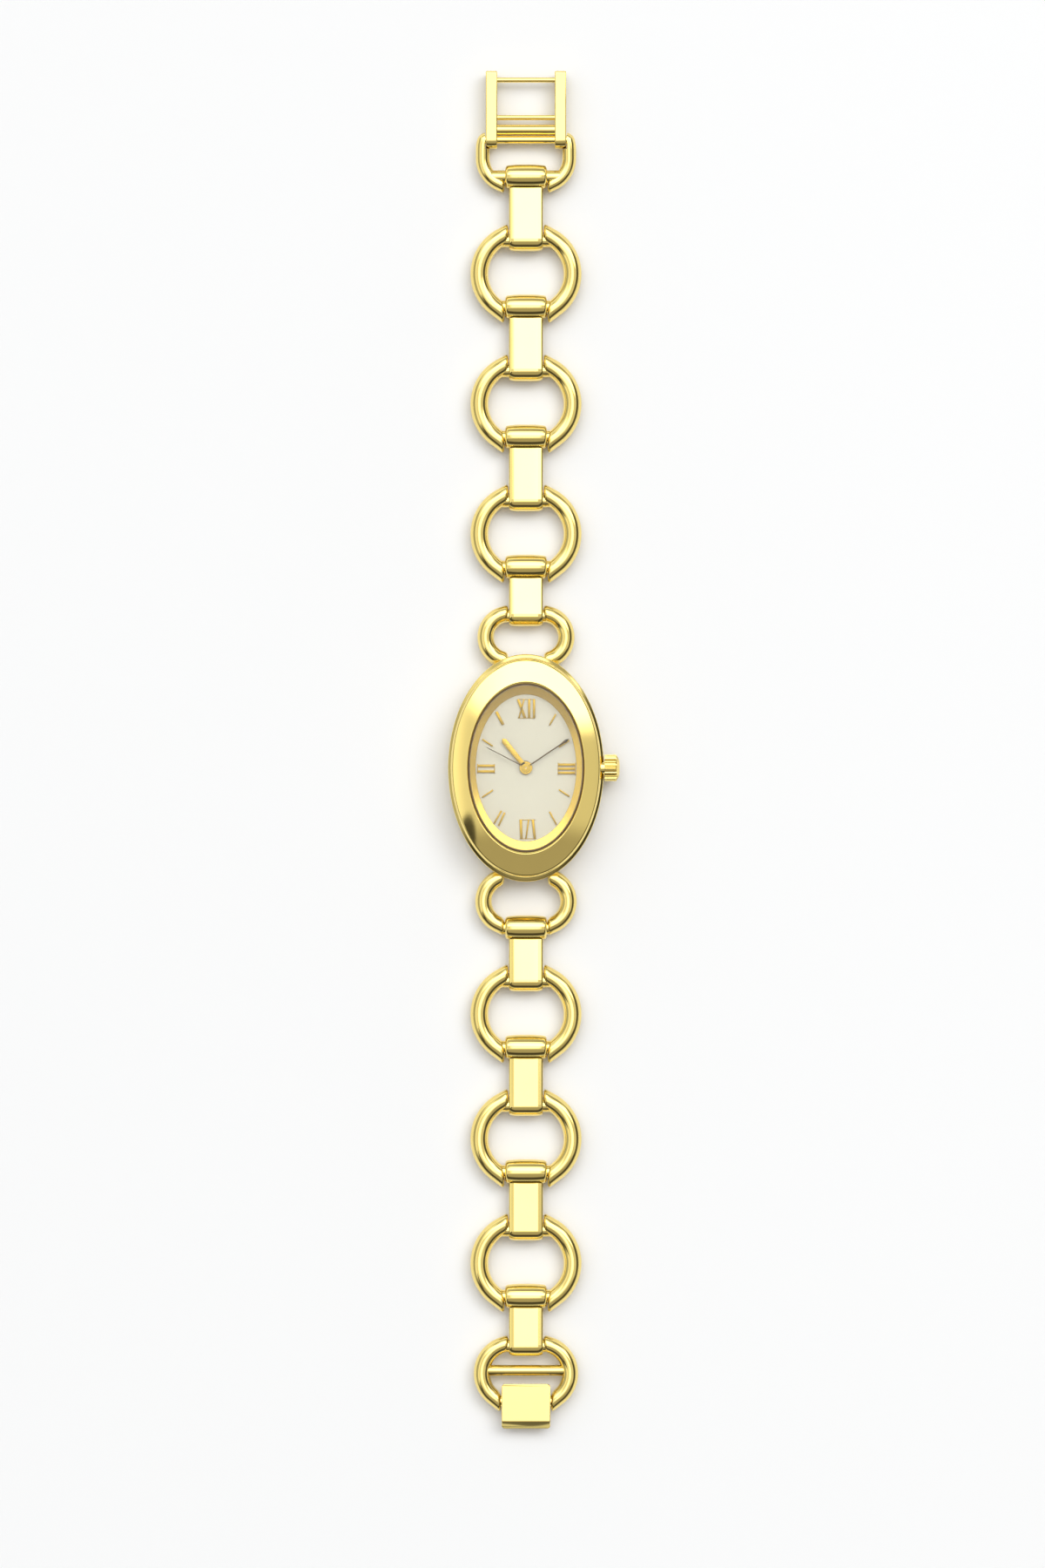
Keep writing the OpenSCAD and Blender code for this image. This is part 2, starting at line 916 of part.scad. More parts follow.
module lower_end_ring() {
    narrow = plate_w + 2 * gap;
    hook_notch = hook_w + 2 * gap;
    run = oval_half - narrow / 2;
    arc_r = (run * run + oval_reach * oval_reach) / (2 * run);
    color(gold)
    translate([0, oval_y, hinge_z])
    difference() {
        union() {
            difference() {
                arms(oval_half - arc_r, arc_r, oval_t, narrow / 2);
                translate([-hook_notch / 2, -7, -2])
                cube([hook_notch, 6, 4]);
            }
            rod(bar_r, narrow + 1.0, oval_bar);
            rod(hook_bar_r, hook_notch + 1.0, -oval_bar);
        }
        rod(cross_r, cross_len, cross_y - oval_y);
    }
}

module cross_bar() {
    color(gold)
    rod(cross_r, cross_len, cross_y, hinge_z);
}

module hook_plate() {
    low = hook_loop_r - hook_t;
    section = [[2.4, low], [2.4, hook_loop_r], [-hook_reach + hook_fall, hook_loop_r], [-hook_reach, hook_brow],
        [-hook_reach, -0.2], [-hook_reach + hook_t, -0.2], [-hook_reach + hook_t, hook_brow - 0.2],
        [-hook_reach + hook_fall + 0.2, low]];
    color(gold)
    translate([0, hook_y, hinge_z])
    difference() {
        union() {
            rod(hook_loop_r, hook_w);
            translate([-hook_w / 2, 0, 0])
            rotate([90, 0, 90])
            linear_extrude(height = hook_w)
            polygon(section);
            rod(hook_t / 2, hook_w, 2.4, hook_loop_r - hook_t / 2);
        }
        rod(hook_bar_r + fit, hook_w + 1);
    }
}

case_middle();
bezel();
crystal();
crystal_gasket();
dial();
dial_ring();
hour_markers();
case_back();
back_gasket();
crown_tube();
movement_holder();
movement_plate();
train_bridge();
coil();
battery();
battery_clamp();
lug_12();
lug_6();
hour_hand();
hour_wheel();
minute_hand();
cannon_pinion();
second_hand();
second_wheel();
minute_wheel();
crown();
stem();
crown_gasket();
clutch_pinion();
upper_link_1();
upper_ring_1();
upper_link_2();
upper_ring_2();
upper_link_3();
upper_ring_3();
upper_link_4();
upper_end_ring();
ladder_rail_left();
ladder_rail_right();
ladder_rungs();
lower_link_1();
lower_ring_1();
lower_link_2();
lower_ring_2();
lower_link_3();
lower_ring_3();
lower_link_4();
lower_end_ring();
cross_bar();
hook_plate();
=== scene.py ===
"""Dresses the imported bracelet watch: polished case, chain of rings and folded links, dial, hands and clasp."""
import json
import math

import bmesh
import bpy
from bpy.props import FloatProperty, FloatVectorProperty, IntProperty, PointerProperty
from mathutils import Matrix, Vector


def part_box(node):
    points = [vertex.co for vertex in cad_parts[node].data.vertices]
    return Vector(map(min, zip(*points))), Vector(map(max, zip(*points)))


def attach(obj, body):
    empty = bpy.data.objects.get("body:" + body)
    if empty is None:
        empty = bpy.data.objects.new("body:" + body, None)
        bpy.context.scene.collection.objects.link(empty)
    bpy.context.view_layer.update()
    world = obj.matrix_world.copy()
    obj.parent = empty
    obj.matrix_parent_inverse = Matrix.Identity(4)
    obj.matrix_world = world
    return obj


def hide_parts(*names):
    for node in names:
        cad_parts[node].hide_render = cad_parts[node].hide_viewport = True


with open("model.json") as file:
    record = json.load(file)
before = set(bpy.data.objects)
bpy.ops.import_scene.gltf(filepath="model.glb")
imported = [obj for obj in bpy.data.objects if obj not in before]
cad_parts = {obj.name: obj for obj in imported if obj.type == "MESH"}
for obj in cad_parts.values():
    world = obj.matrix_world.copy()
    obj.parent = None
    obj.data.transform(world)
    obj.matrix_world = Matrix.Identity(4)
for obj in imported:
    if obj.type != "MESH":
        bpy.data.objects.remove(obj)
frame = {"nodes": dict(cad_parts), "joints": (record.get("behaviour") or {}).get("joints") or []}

bl_info = {
    "name": "Bracelet Watch",
    "version": (1, 0, 0),
    "blender": (4, 5, 0),
    "location": "View3D > Sidebar > Watch",
    "description": "Builds the visible pieces of a small bracelet watch on its packed frame",
    "category": "Add Mesh",
}

MM = 0.001
HINGE = {j["name"]: Vector(j["pos_m"]) for j in frame["joints"] if "pos_m" in j}
HINGE_Z = HINGE["upper_link_1_hinge"].z
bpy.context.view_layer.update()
ROUND_STEPS = 144
SEAL_STEPS = 120
ARM_EASE = 0.45 * MM
BORE_PLAY = 0.05 * MM
BAR_HOLD = 1.0 * MM
MERGE = 1e-7
LEVEL = 1e-8
FLAT_AREA = 8e-6
QUARTER = math.pi / 2


def size(name, description, value):
    """A length in metres, given in millimetres."""
    return FloatProperty(name=name, description=description, default=value * MM, unit="LENGTH", precision=5)


def colour(name, description, value):
    """A linear colour for a finish."""
    return FloatVectorProperty(
        name=name, description=description, default=value, size=3, subtype="COLOR", min=0, max=1)


class WatchSizes(bpy.types.PropertyGroup):
    """Sizes of the visible pieces."""

    ratio: FloatProperty(name="Oval", description="Length over width of the case's ovals", default=1.46)
    case_half: size("Case", "Half width of the case body", 10.0)
    flange_half: size("Flange", "Half width of the thin flange", 10.55)
    case_top: size("Dial height", "Height of the dial's face", 4.5)
    bezel_half: size("Bezel", "Half width of the bezel", 10.1)
    bezel_top: size("Bezel top", "Height of the bezel's inner edge", 6.7)
    bezel_drop: size("Bezel fall", "Fall of the bezel's face", 0.84)
    aperture_half: size("Aperture", "Half width of the bezel's opening", 7.8)
    glass_half: size("Crystal", "Half width of the crystal", 7.64)
    glass_low: size("Crystal seat", "Height of the crystal's underside", 5.7)
    dial_half: size("Dial", "Half width of the dial inside the sloping ring", 6.8)
    dial_plate_half: size("Dial plate", "Half width of the dial's plate", 8.1)
    back_half: size("Back", "Half width of the case back", 9.6)
    back_height: size("Back height", "Thickness of the case back's plate", 0.7)
    crown_radius: size("Crown", "Outer radius of the crown", 1.8)
    crown_length: size("Crown length", "Length of the crown", 2.1)
    crown_flutes: IntProperty(name="Flutes", description="Number of flutes round the crown", default=20)
    ring_half: size("Ring", "Half width of a ring along the middle of its tube", 6.33)
    ring_arc: size("Ring arc", "Radius of a ring's two arcs", 5.63)
    ring_tube: size("Ring tube", "Tube radius of a ring", 1.22)
    ring_bar: size("Bar distance", "Distance of a ring's bars from its centre", 4.5)
    bar_radius: size("Bar", "Radius of a hinge bar", 0.9)
    barrel_radius: size("Barrel", "Radius of a link's barrel", 1.7)
    barrel_width: size("Barrel width", "Width of a link's barrel", 5.66)
    plate_width: size("Plate", "Width of a link's plate", 4.6)
    loop_radius: size("Loop", "Outer radius of a link's narrow loop", 1.45)
    plate_low: size("Plate fall", "Height of the plate over the hinge where it leaves the barrel", 0.7)
    strip: size("Strip", "Thickness of the folded strip", 0.4)
    play: size("Play", "Gap between a loop's side and its notch", 0.12)
    lug_tube: size("Lug tube", "Tube radius of the lugs", 1.12)
    rail_width: size("Rail", "Width of a ladder rail", 1.55)
    rail_height: size("Rail height", "Height of a ladder rail", 2.5)
    ladder_width: size("Ladder", "Outer width of the ladder", 10.9)
    ladder_length: size("Ladder length", "Distance from the ladder's hinge to its end", 9.2)
    hook_width: size("Hook", "Width of the hook plate", 6.6)
    hook_reach: size("Hook reach", "Distance from the hook's hinge to its lip", 3.7)


class WatchColours(bpy.types.PropertyGroup):
    """Colours of the finishes, linear."""

    gold: colour("Gold", "Polished gold-tone plating", (0.95, 0.75, 0.25))
    slope_gold: colour("Slope gold", "Deep gold of the ring round the dial", (0.88, 0.60, 0.11))
    mark_gold: colour("Mark gold", "Darker gold of the hour marks", (0.50, 0.31, 0.02))
    hand_gold: colour("Hand gold", "Gold of the hour hand", (0.55, 0.36, 0.045))
    slim_gold: colour("Slim gold", "Darker gold of the two slim hands", (0.09, 0.05, 0.01))
    dial: colour("Dial", "Cream lacquer of the dial", (0.755, 0.715, 0.56))
    steel: colour("Steel", "Brushed steel of the case back", (0.62, 0.63, 0.65))
    brass: colour("Brass", "Gilt brass of the movement", (0.76, 0.58, 0.28))
    copper: colour("Copper", "Enamelled wire of the coil", (0.62, 0.24, 0.10))
    nylon: colour("Nylon", "Movement holder", (0.80, 0.80, 0.76))
    # The seal's near-black tone is painted shade, standing for the shaded gap at the bezel's inner edge.
    seal: colour("Seal", "Dark amber nylon of the crystal's gasket", (0.10, 0.055, 0.012))
    rubber: colour("Rubber", "Back and crown gaskets", (0.03, 0.03, 0.033))
    floor: colour("Floor", "Pale floor under the watch", (0.88, 0.88, 0.88))


# Shader maths

class Wave:
    """A shader socket that takes part in Python arithmetic."""

    def __init__(self, tree, socket):
        self.tree = tree
        self.socket = socket

    def _math(self, operation, *values):
        node = self.tree.nodes.new("ShaderNodeMath")
        node.operation = operation
        for slot, value in zip(node.inputs, values):
            if isinstance(value, Wave):
                self.tree.links.new(value.socket, slot)
            else:
                slot.default_value = value
        return Wave(self.tree, node.outputs[0])

    def __add__(self, other):
        return self._math("ADD", self, other)

    __radd__ = __add__

    def __sub__(self, other):
        return self._math("SUBTRACT", self, other)

    def __rsub__(self, other):
        return self._math("SUBTRACT", other, self)

    def __mul__(self, other):
        return self._math("MULTIPLY", self, other)

    __rmul__ = __mul__

    def __pow__(self, other):
        return self._math("POWER", self, other)

    def absolute(self):
        return self._math("ABSOLUTE", self)

    def sine(self):
        return self._math("SINE", self)

    def step(self, low, high):
        """0 below low, 1 above high, smooth between."""
        node = self.tree.nodes.new("ShaderNodeMapRange")
        node.interpolation_type = "SMOOTHSTEP"
        self.tree.links.new(self.socket, node.inputs["Value"])
        node.inputs["From Min"].default_value = low
        node.inputs["From Max"].default_value = high
        return Wave(self.tree, node.outputs["Result"])


class Finish:
    """A node tree under construction, for a material or the world."""

    def __init__(self, owner):
        self.owner = owner
        owner.use_nodes = True
        self.tree = owner.node_tree
        self.tree.nodes.clear()

    def node(self, kind, settings=None, inputs=None, output=0):
        """Adds one node, with its settings first and then its sockets' values or links."""
        made = self.tree.nodes.new(kind)
        for key, value in (settings or {}).items():
            setattr(made, key, value)
        for key, value in (inputs or {}).items():
            if isinstance(value, Wave):
                self.tree.links.new(value.socket, made.inputs[key])
            else:
                made.inputs[key].default_value = value
        return Wave(self.tree, made.outputs[output]) if made.outputs else made

    def place(self, scale=(1, 1, 1), centre=(0, 0, 0), turn=(0, 0, 0)):
        """Object coordinates, centred, turned and scaled."""
        where = self.node("ShaderNodeTexCoord", output="Object")
        return self.node("ShaderNodeMapping", {"vector_type": "POINT"}, {
            "Vector": where, "Location": [-c * s for c, s in zip(centre, scale)], "Rotation": turn, "Scale": scale})

    def noise(self, scale, where, detail=3.0, roughness=0.5):
        return self.node("ShaderNodeTexNoise", {"noise_dimensions": "3D"}, {
            "Vector": where, "Scale": scale, "Detail": detail, "Roughness": roughness}, "Fac")

    def shade(self, low, high, amount):
        """Colour between two tones."""
        return self.node("ShaderNodeMix", {"data_type": "RGBA"}, {0: amount, 6: (*low, 1), 7: (*high, 1)}, 2)

    def bump(self, height, strength, distance):
        return self.node("ShaderNodeBump", None, {"Height": height, "Strength": strength, "Distance": distance})

    def surface(self, **sockets):
        """Principled surface joined to the output. Underscores in socket names stand for spaces."""
        inputs = {}
        for key, value in sockets.items():
            if isinstance(value, tuple) and len(value) == 3:
                value = (*value, 1)
            inputs[key.replace("_", " ")] = value
        self.out(self.node("ShaderNodeBsdfPrincipled", None, inputs))
        return self.owner

    def out(self, shader):
        kind = "ShaderNodeOutputWorld" if isinstance(self.owner, bpy.types.World) else "ShaderNodeOutputMaterial"
        self.node(kind, None, {"Surface": shader})


def dim(tone, by):
    return tuple(min(1.0, c * by) for c in tone)


def plated(name, tone, rough=0.06):
    """Polished plating with faint swirl marks and a slightly uneven gloss."""
    f = Finish(bpy.data.materials.new(name))
    where = f.place()
    cloud = f.noise(320, where, 4)
    hair = f.noise(900, f.place(scale=(0.25, 5, 1), turn=(0, 0, 0.5)), 2)
    fine = f.noise(5200, where, 2)
    return f.surface(
        Base_Color=f.shade(dim(tone, 0.965), dim(tone, 1.02), cloud),
        Metallic=1.0,
        Roughness=rough + 0.03 * cloud + 0.02 * hair,
        Normal=f.bump(0.7 * fine + 0.3 * hair, 0.05, 0.00002))


def slim(name, boss, tone):
    """Gilt boss, darker blade and a black tip, told apart by their distance from the dial's axis. The black tip is
    painted shade and dark reflection where the hand nears the dial ring.
    """
    f = Finish(bpy.data.materials.new(name))
    where = f.place()
    x = f.node("ShaderNodeSeparateXYZ", None, {"Vector": where}, "X")
    y = f.node("ShaderNodeSeparateXYZ", None, {"Vector": where}, "Y")
    out = (x * x + y * y) ** 0.5
    cloud = f.noise(900, where, 3)
    blade = f.shade(boss, tone, out.step(0.62 * MM, 0.72 * MM))
    return f.surface(
        # The near-black tip colour is painted shade and dark reflection near the dial ring, not a finish of the
        # hand.
        Base_Color=f.node("ShaderNodeMix", {"data_type": "RGBA"}, {
            0: out.step(6.25 * MM, 6.4 * MM), 6: blade, 7: (0.03, 0.02, 0.008, 1)}, 2),
        Metallic=1.0,
        Roughness=0.24 + 0.1 * cloud,
        Normal=f.bump(cloud, 0.06, 0.00001))


def brushed(name, tone, turn=0.0, rough=0.3):
    """Metal brushed in one direction."""
    f = Finish(bpy.data.materials.new(name))
    grain = f.noise(260, f.place(scale=(1, 26, 1), turn=(0, 0, turn)), 5, 0.65)
    cloud = f.noise(150, f.place(), 3)
    return f.surface(
        Base_Color=f.shade(dim(tone, 0.88), dim(tone, 1.05), 0.6 * grain + 0.4 * cloud),
        Metallic=1.0,
        Roughness=rough + 0.16 * grain,
        Normal=f.bump(grain, 0.12, 0.00003))


def lacquered(name, tone):
    """Satin dial lacquer over a fine grained plate."""
    f = Finish(bpy.data.materials.new(name))
    where = f.place()
    grain = f.noise(6500, where, 3, 0.6)
    cloud = f.noise(160, where, 3)
    return f.surface(
        Base_Color=f.shade(dim(tone, 0.95), dim(tone, 1.04), 0.35 * grain + 0.65 * cloud),
        Metallic=0.0,
        Roughness=0.42 + 0.12 * grain,
        Coat_Weight=0.1,
        Coat_Roughness=0.25,
        Normal=f.bump(grain, 0.16, 0.00001))


def moulded(name, tone, rough=0.5, scale=2600, weight=0.12):
    """Moulded nylon or rubber with a fine skin."""
    f = Finish(bpy.data.materials.new(name))
    where = f.place()
    skin = f.noise(scale, where, 3, 0.6)
    cloud = f.noise(240, where, 2)
    return f.surface(
        Base_Color=f.shade(dim(tone, 0.9), dim(tone, 1.06), 0.5 * skin + 0.5 * cloud),
        Roughness=rough + 0.14 * skin,
        Normal=f.bump(skin, weight, 0.00003))


def clear_glass(name):
    """Thin clear crystal that brightens towards its edge-on side."""
    f = Finish(bpy.data.materials.new(name))
    facing = f.node("ShaderNodeLayerWeight", None, {"Blend": 0.25}, "Facing")
    smear = f.noise(110, f.place(), 4)
    return f.surface(
        Base_Color=(0.93, 0.97, 0.97),
        Roughness=0.03 + 0.03 * smear,
        Alpha=0.045 + 0.5 * facing + 0.012 * smear)


def wound(name, tone, where_y):
    """Fine turns of enamelled wire along X."""
    f = Finish(bpy.data.materials.new(name))
    along = f.node("ShaderNodeSeparateXYZ", None, {"Vector": f.place()}, "X")
    turns = (along * (2 * math.pi / 0.00012)).sine() * 0.5 + 0.5
    cloud = f.noise(900, f.place(centre=(0, where_y, 0)), 3)
    return f.surface(
        Base_Color=f.shade(dim(tone, 0.45), tone, 0.75 * turns + 0.25 * cloud),
        Metallic=0.85,
        Roughness=0.28 + 0.15 * cloud,
        Normal=f.bump(turns, 0.5, 0.00004))


def grained_plate(name, tone):
    """Gilt movement plate with rows of overlapping polished spots."""
    f = Finish(bpy.data.materials.new(name))
    spots = f.node("ShaderNodeTexVoronoi", {"feature": "F1"}, {
        "Vector": f.place(), "Scale": 1500, "Randomness": 0.15}, "Distance")
    rings = (spots * 38).sine() * 0.5 + 0.5
    cloud = f.noise(300, f.place(), 3)
    return f.surface(
        Base_Color=f.shade(dim(tone, 0.82), dim(tone, 1.06), 0.6 * rings + 0.4 * cloud),
        Metallic=1.0,
        Roughness=0.24 + 0.14 * rings,
        Normal=f.bump(rings, 0.12, 0.00002))


def pale_floor(name, tone):
    f = Finish(bpy.data.materials.new(name))
    cloud = f.noise(9, f.place(), 3)
    return f.surface(
        Base_Color=f.shade(dim(tone, 0.99), dim(tone, 1.0), cloud),
        Roughness=0.9,
        Specular_IOR_Level=0.0)


FINISHES = {}


def finish(key):
    """The material of that name, made on its first use."""
    if key not in FINISHES:
        tones = bpy.context.scene.watch_colours
        makers = {
            "gold": lambda: plated("Polished gold", tones.gold),
            "slope_gold": lambda: plated("Slope gold", tones.slope_gold, 0.2),
            "mark_gold": lambda: plated("Mark gold", tones.mark_gold, 0.3),
            "hand_gold": lambda: plated("Hand gold", tones.hand_gold, 0.25),
            "slim_gold": lambda: slim("Slim hands", tones.hand_gold, tones.slim_gold),
            "dial": lambda: lacquered("Cream dial", tones.dial),
            "steel": lambda: brushed("Brushed steel", tones.steel),
            "stem_steel": lambda: brushed("Turned steel", tones.steel, 1.57, 0.22),
            "battery": lambda: brushed("Battery steel", dim(tones.steel, 1.2), 0.8, 0.16),
            "brass": lambda: grained_plate("Gilt movement", tones.brass),
            "copper": lambda: wound("Copper coil", tones.copper, 4.9 * MM),
            "nylon": lambda: moulded("Nylon", tones.nylon),
            # The gasket's dark tone is painted shade for the gap at the bezel's inner edge.
            "seal": lambda: moulded("Gasket painted dark as gap shade", tones.seal, 0.35, 1800, 0.06),
            "rubber": lambda: moulded("Rubber", tones.rubber, 0.7, 1700, 0.2),
            "glass": lambda: clear_glass("Crystal"),
            "floor": lambda: pale_floor("Floor", tones.floor),
        }
        FINISHES[key] = makers[key]()
    return FINISHES[key]


# Shaping

def only(geom, kind):
    return [g for g in geom if isinstance(g, kind)]


def edges_at(verts):
    """Edges that meet the vertices, once each and always in the same order."""
    return list(dict.fromkeys(e for v in verts for e in v.link_edges))


def ease(bm, edges, offset, segments):
    """Rounds edges by an offset."""
    bmesh.ops.bevel(bm, geom=edges, offset=offset, affect="EDGES", segments=segments, profile=0.5, material=-1)


def push(bm, face, vec):
    """Extrudes a face by a vector. Returns its far vertices and its far face."""
    grown = bmesh.ops.extrude_face_region(bm, geom=[face])["geom"]
    verts = only(grown, bmesh.types.BMVert)
    bmesh.ops.translate(bm, vec=vec, verts=verts)
    return verts, only(grown, bmesh.types.BMFace)[0]


def across(edge):
    """Whether an edge lies in a plane square to X."""
    return abs(edge.verts[0].co.x - edge.verts[1].co.x) < LEVEL


def inside(bm, verts):
    return [e for e in bm.edges if all(v in verts for v in e.verts)]


def outline(bm, points, plane):
    """Flat face through (a, b, corner) points laid by plane(a, b), each corner rounded by its own offset."""
    others = set(bm.faces)
    verts = [bm.verts.new(plane(a, b)) for a, b, _ in points]
    bm.faces.new(verts)
    for vert, (_, _, corner) in zip(verts, points):
        if corner:
            bmesh.ops.bevel(bm, geom=[vert], offset=corner, offset_type="OFFSET", affect="VERTICES",
                            segments=5, profile=0.5, material=-1)
    return next(f for f in bm.faces if f not in others)


def lathe(bm, points, steps, ratio=1.0, axis="Z"):
    """Spins a closed outline of (radius, height, corner) points about an axis."""
    before = set(bm.verts)
    if axis == "Z":
        face = outline(bm, points, lambda r, h: (r, 0, h))
        turn = Vector((0, 0, 1))
    else:
        face = outline(bm, points, lambda r, h: (h, 0, r))
        turn = Vector((1, 0, 0))
    edges = list(face.edges)
    bmesh.ops.delete(bm, geom=[face], context="FACES_ONLY")
    bmesh.ops.spin(bm, geom=edges, cent=(0, 0, 0), axis=turn, angle=2 * math.pi, steps=steps, use_merge=True)
    made = [v for v in bm.verts if v not in before]
    bmesh.ops.remove_doubles(bm, verts=made, dist=MERGE)
    bmesh.ops.scale(bm, vec=(1, ratio, 1), verts=[v for v in bm.verts if v not in before])


def rod(bm, radius, width, centre, corner=0.0):
    """Round bar along X with eased ends."""
    made = bmesh.ops.create_cone(
        bm, cap_ends=True, segments=32, radius1=radius, radius2=radius, depth=width,
        matrix=Matrix.Translation(centre) @ Matrix.Rotation(QUARTER, 4, "Y"))["verts"]
    if corner:
        ease(bm, [e for e in edges_at(made) if across(e)], corner, 3)


def block(bm, size_xyz, centre, turn, corner, only_top=False):
    """Box with eased edges."""
    place = Matrix.Translation(centre) @ Matrix.Rotation(turn, 4, "Z") @ Matrix.Diagonal((*size_xyz, 1))
    made = bmesh.ops.create_cube(bm, size=1, matrix=place)["verts"]
    edges = edges_at(made)
    if only_top:
        edges = [e for e in edges if min(v.co.z for v in e.verts) > centre[2]]
    ease(bm, edges, corner, 2)


def carry(bm, edges, matrix):
    """Extrudes an open rim and moves its far side by the matrix. Returns the new rim's edges."""
    grown = bmesh.ops.extrude_edge_only(bm, edges=edges)["geom"]
    bmesh.ops.transform(bm, matrix=matrix, verts=only(grown, bmesh.types.BMVert))
    return only(grown, bmesh.types.BMEdge)


def mirror_twin(bm):
    """Adds the copy on the other side of x = 0."""
    twin = bmesh.ops.duplicate(bm, geom=list(bm.verts) + list(bm.edges) + list(bm.faces))["geom"]
    bmesh.ops.scale(bm, vec=(-1, 1, 1), verts=only(twin, bmesh.types.BMVert))


def tube_ring(bm, centre_x, radius, tube, angle):
    """Open round section of a tube at an angle of its path about (centre_x, 0)."""
    ring = bmesh.ops.create_circle(
        bm, cap_ends=False, segments=40, radius=tube,
        matrix=Matrix.Translation((centre_x, 0, 0)) @ Matrix.Rotation(angle, 4, "Z")
        @ Matrix.Translation((radius, 0, 0)) @ Matrix.Rotation(QUARTER, 4, "X"))
    return edges_at(ring["verts"])


def sweep(bm, ring, centre_x, angle, steps):
    """Carries an open section about (centre_x, 0). Returns the last section's edges."""
    last = bmesh.ops.spin(bm, geom=ring, cent=(centre_x, 0, 0), axis=(0, 0, 1), angle=angle, steps=steps)
    return only(last["geom_last"], bmesh.types.BMEdge)


def run_out(centre_x, radius, tube, cut, side):
    """Where an arc stops short of the plane x = cut, and the matrix that carries its section straight on to it."""
    reach = math.acos((cut - centre_x) / radius)
    reach -= (tube * abs(1 / math.tan(reach)) + 0.1 * MM) / radius
    slope = -side / math.tan(reach)
    return reach, Matrix(((0, 0, 0, cut), (-slope, 1, 0, slope * cut), (0, 0, 1, 0), (0, 0, 0, 1)))


def round_end(bm, edges, toward, corner):
    """Closes a tube's open end with a rounded rim, going on in the direction toward."""
    verts = sorted(dict.fromkeys(v for e in edges for v in e.verts), key=lambda v: v.co[:])
    centre = sum((v.co for v in verts), Vector()) / len(verts)
    radius = max(abs(v.co.z - centre.z) for v in verts)
    for step in range(1, 6):
        a, b = math.radians(18 * (step - 1)), math.radians(18 * step)
        shrink = (radius - corner * (1 - math.cos(b))) / (radius - corner * (1 - math.cos(a)))
        ahead = centre + toward * corner * (math.sin(b) - math.sin(a))
        edges = carry(bm, edges, Matrix.Translation(ahead) @ Matrix.Diagonal((1, shrink, shrink, 1))
                      @ Matrix.Translation(-centre))
        centre = ahead
    bmesh.ops.holes_fill(bm, edges=edges, sides=0)


def arm_pair(bm, centre_x, radius, tube, cut_plus, cut_minus):
    """Two mirrored arcs of round tube about (+-centre_x, 0), cut square beside the loops that they hold."""
    plus, to_plus = run_out(centre_x, radius, tube, cut_plus + ARM_EASE, 1)
    minus, to_minus = run_out(centre_x, radius, tube, cut_minus + ARM_EASE, -1)
    start = tube_ring(bm, centre_x, radius, tube, -minus)
    end = carry(bm, sweep(bm, start, centre_x, plus + minus, 64), to_plus)
    round_end(bm, end, Vector((-1, to_plus[1][0], 0)), ARM_EASE)
    round_end(bm, carry(bm, start, to_minus), Vector((-1, to_minus[1][0], 0)), ARM_EASE)
    mirror_twin(bm)


def strip_run(bm, width, low, high, start, stops):
    """Folded strip: a section in the XZ plane at y = start, carried on by straight runs and bends about the X axis.
    A stop is ("run", length) along the strip or ("bend", centre_y, centre_z, angle, steps)."""
    side, brow = width / 2, width / 2 - 0.5 * MM
    shoulder, crest = high - 0.25 * MM, high - 0.03 * MM
    face = outline(bm, [(-side, low, 0), (side, low, 0), (side, shoulder, 0.1 * MM), (brow, crest, 0.3 * MM),
                        (0, high, 0.9 * MM), (-brow, crest, 0.3 * MM), (-side, shoulder, 0.1 * MM)],
                   lambda a, b: (a, start, b))
    heading = Vector((0, -1, 0))
    for stop in stops:
        if stop[0] == "run":
            face = push(bm, face, heading * stop[1])[1]
        else:
            _, cy, cz, angle, steps = stop
            last = bmesh.ops.spin(bm, geom=[face], cent=(0, cy, cz), axis=(1, 0, 0), angle=angle, steps=steps)
            face = only(last["geom_last"], bmesh.types.BMFace)[0]
            heading = Matrix.Rotation(angle, 3, "X") @ heading


def widen(bm, face, width, corner, plan=0.0):
    """Carries a side face across by the width and eases both outlines, with rounder upright corners if asked."""
    push(bm, face, (width, 0, 0))
    if plan:
        ends = (min(v.co.y for v in bm.verts), max(v.co.y for v in bm.verts))
        ease(bm, [e for e in bm.edges if across(e)
                  and any(all(abs(v.co.y - end) < MERGE for v in e.verts) for end in ends)], plan, 5)
    ease(bm, [e for e in bm.edges if across(e)], corner, 3)


def settle(bm):
    """Orders vertices and faces by place alone, because a spin leaves them in a new order each run."""
    verts = {v: k for k, v in enumerate(sorted(bm.verts, key=lambda v: v.co[:]))}
    faces = sorted(bm.faces, key=lambda f: sorted(verts[v] for v in f.verts))
    faces = {f: k for k, f in enumerate(faces)}
    bm.verts.sort(key=verts.get)
    bm.faces.sort(key=faces.get)


def piece(bm, name, key, body, nodes, sharp=34):
    """Turns the mesh into a finished piece that rides on a body and stands for its CAD nodes."""
    bmesh.ops.remove_doubles(bm, verts=bm.verts, dist=MERGE)
    settle(bm)
    bmesh.ops.recalc_face_normals(bm, faces=bm.faces)
    for face in bm.faces:
        face.smooth = face.calc_area() < FLAT_AREA
    for edge in bm.edges:
        edge.smooth = edge.calc_face_angle(math.pi) < math.radians(sharp)
    mesh = bpy.data.meshes.new(name)
    bm.to_mesh(mesh)
    bm.free()
    made = bpy.data.objects.new(name, mesh)
    bpy.context.scene.collection.objects.link(made)
    mesh.materials.append(finish(key))
    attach(made, body)
    if nodes:
        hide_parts(*nodes)
    return made


def shift(bm, vec):
    bmesh.ops.translate(bm, vec=Vector(vec), verts=bm.verts)


def join(bm, other):
    """Adds another shape to this one."""
    mesh = bpy.data.meshes.new("Joined")
    other.to_mesh(mesh)
    other.free()
    bm.from_mesh(mesh)
    bpy.data.meshes.remove(mesh)


# Case

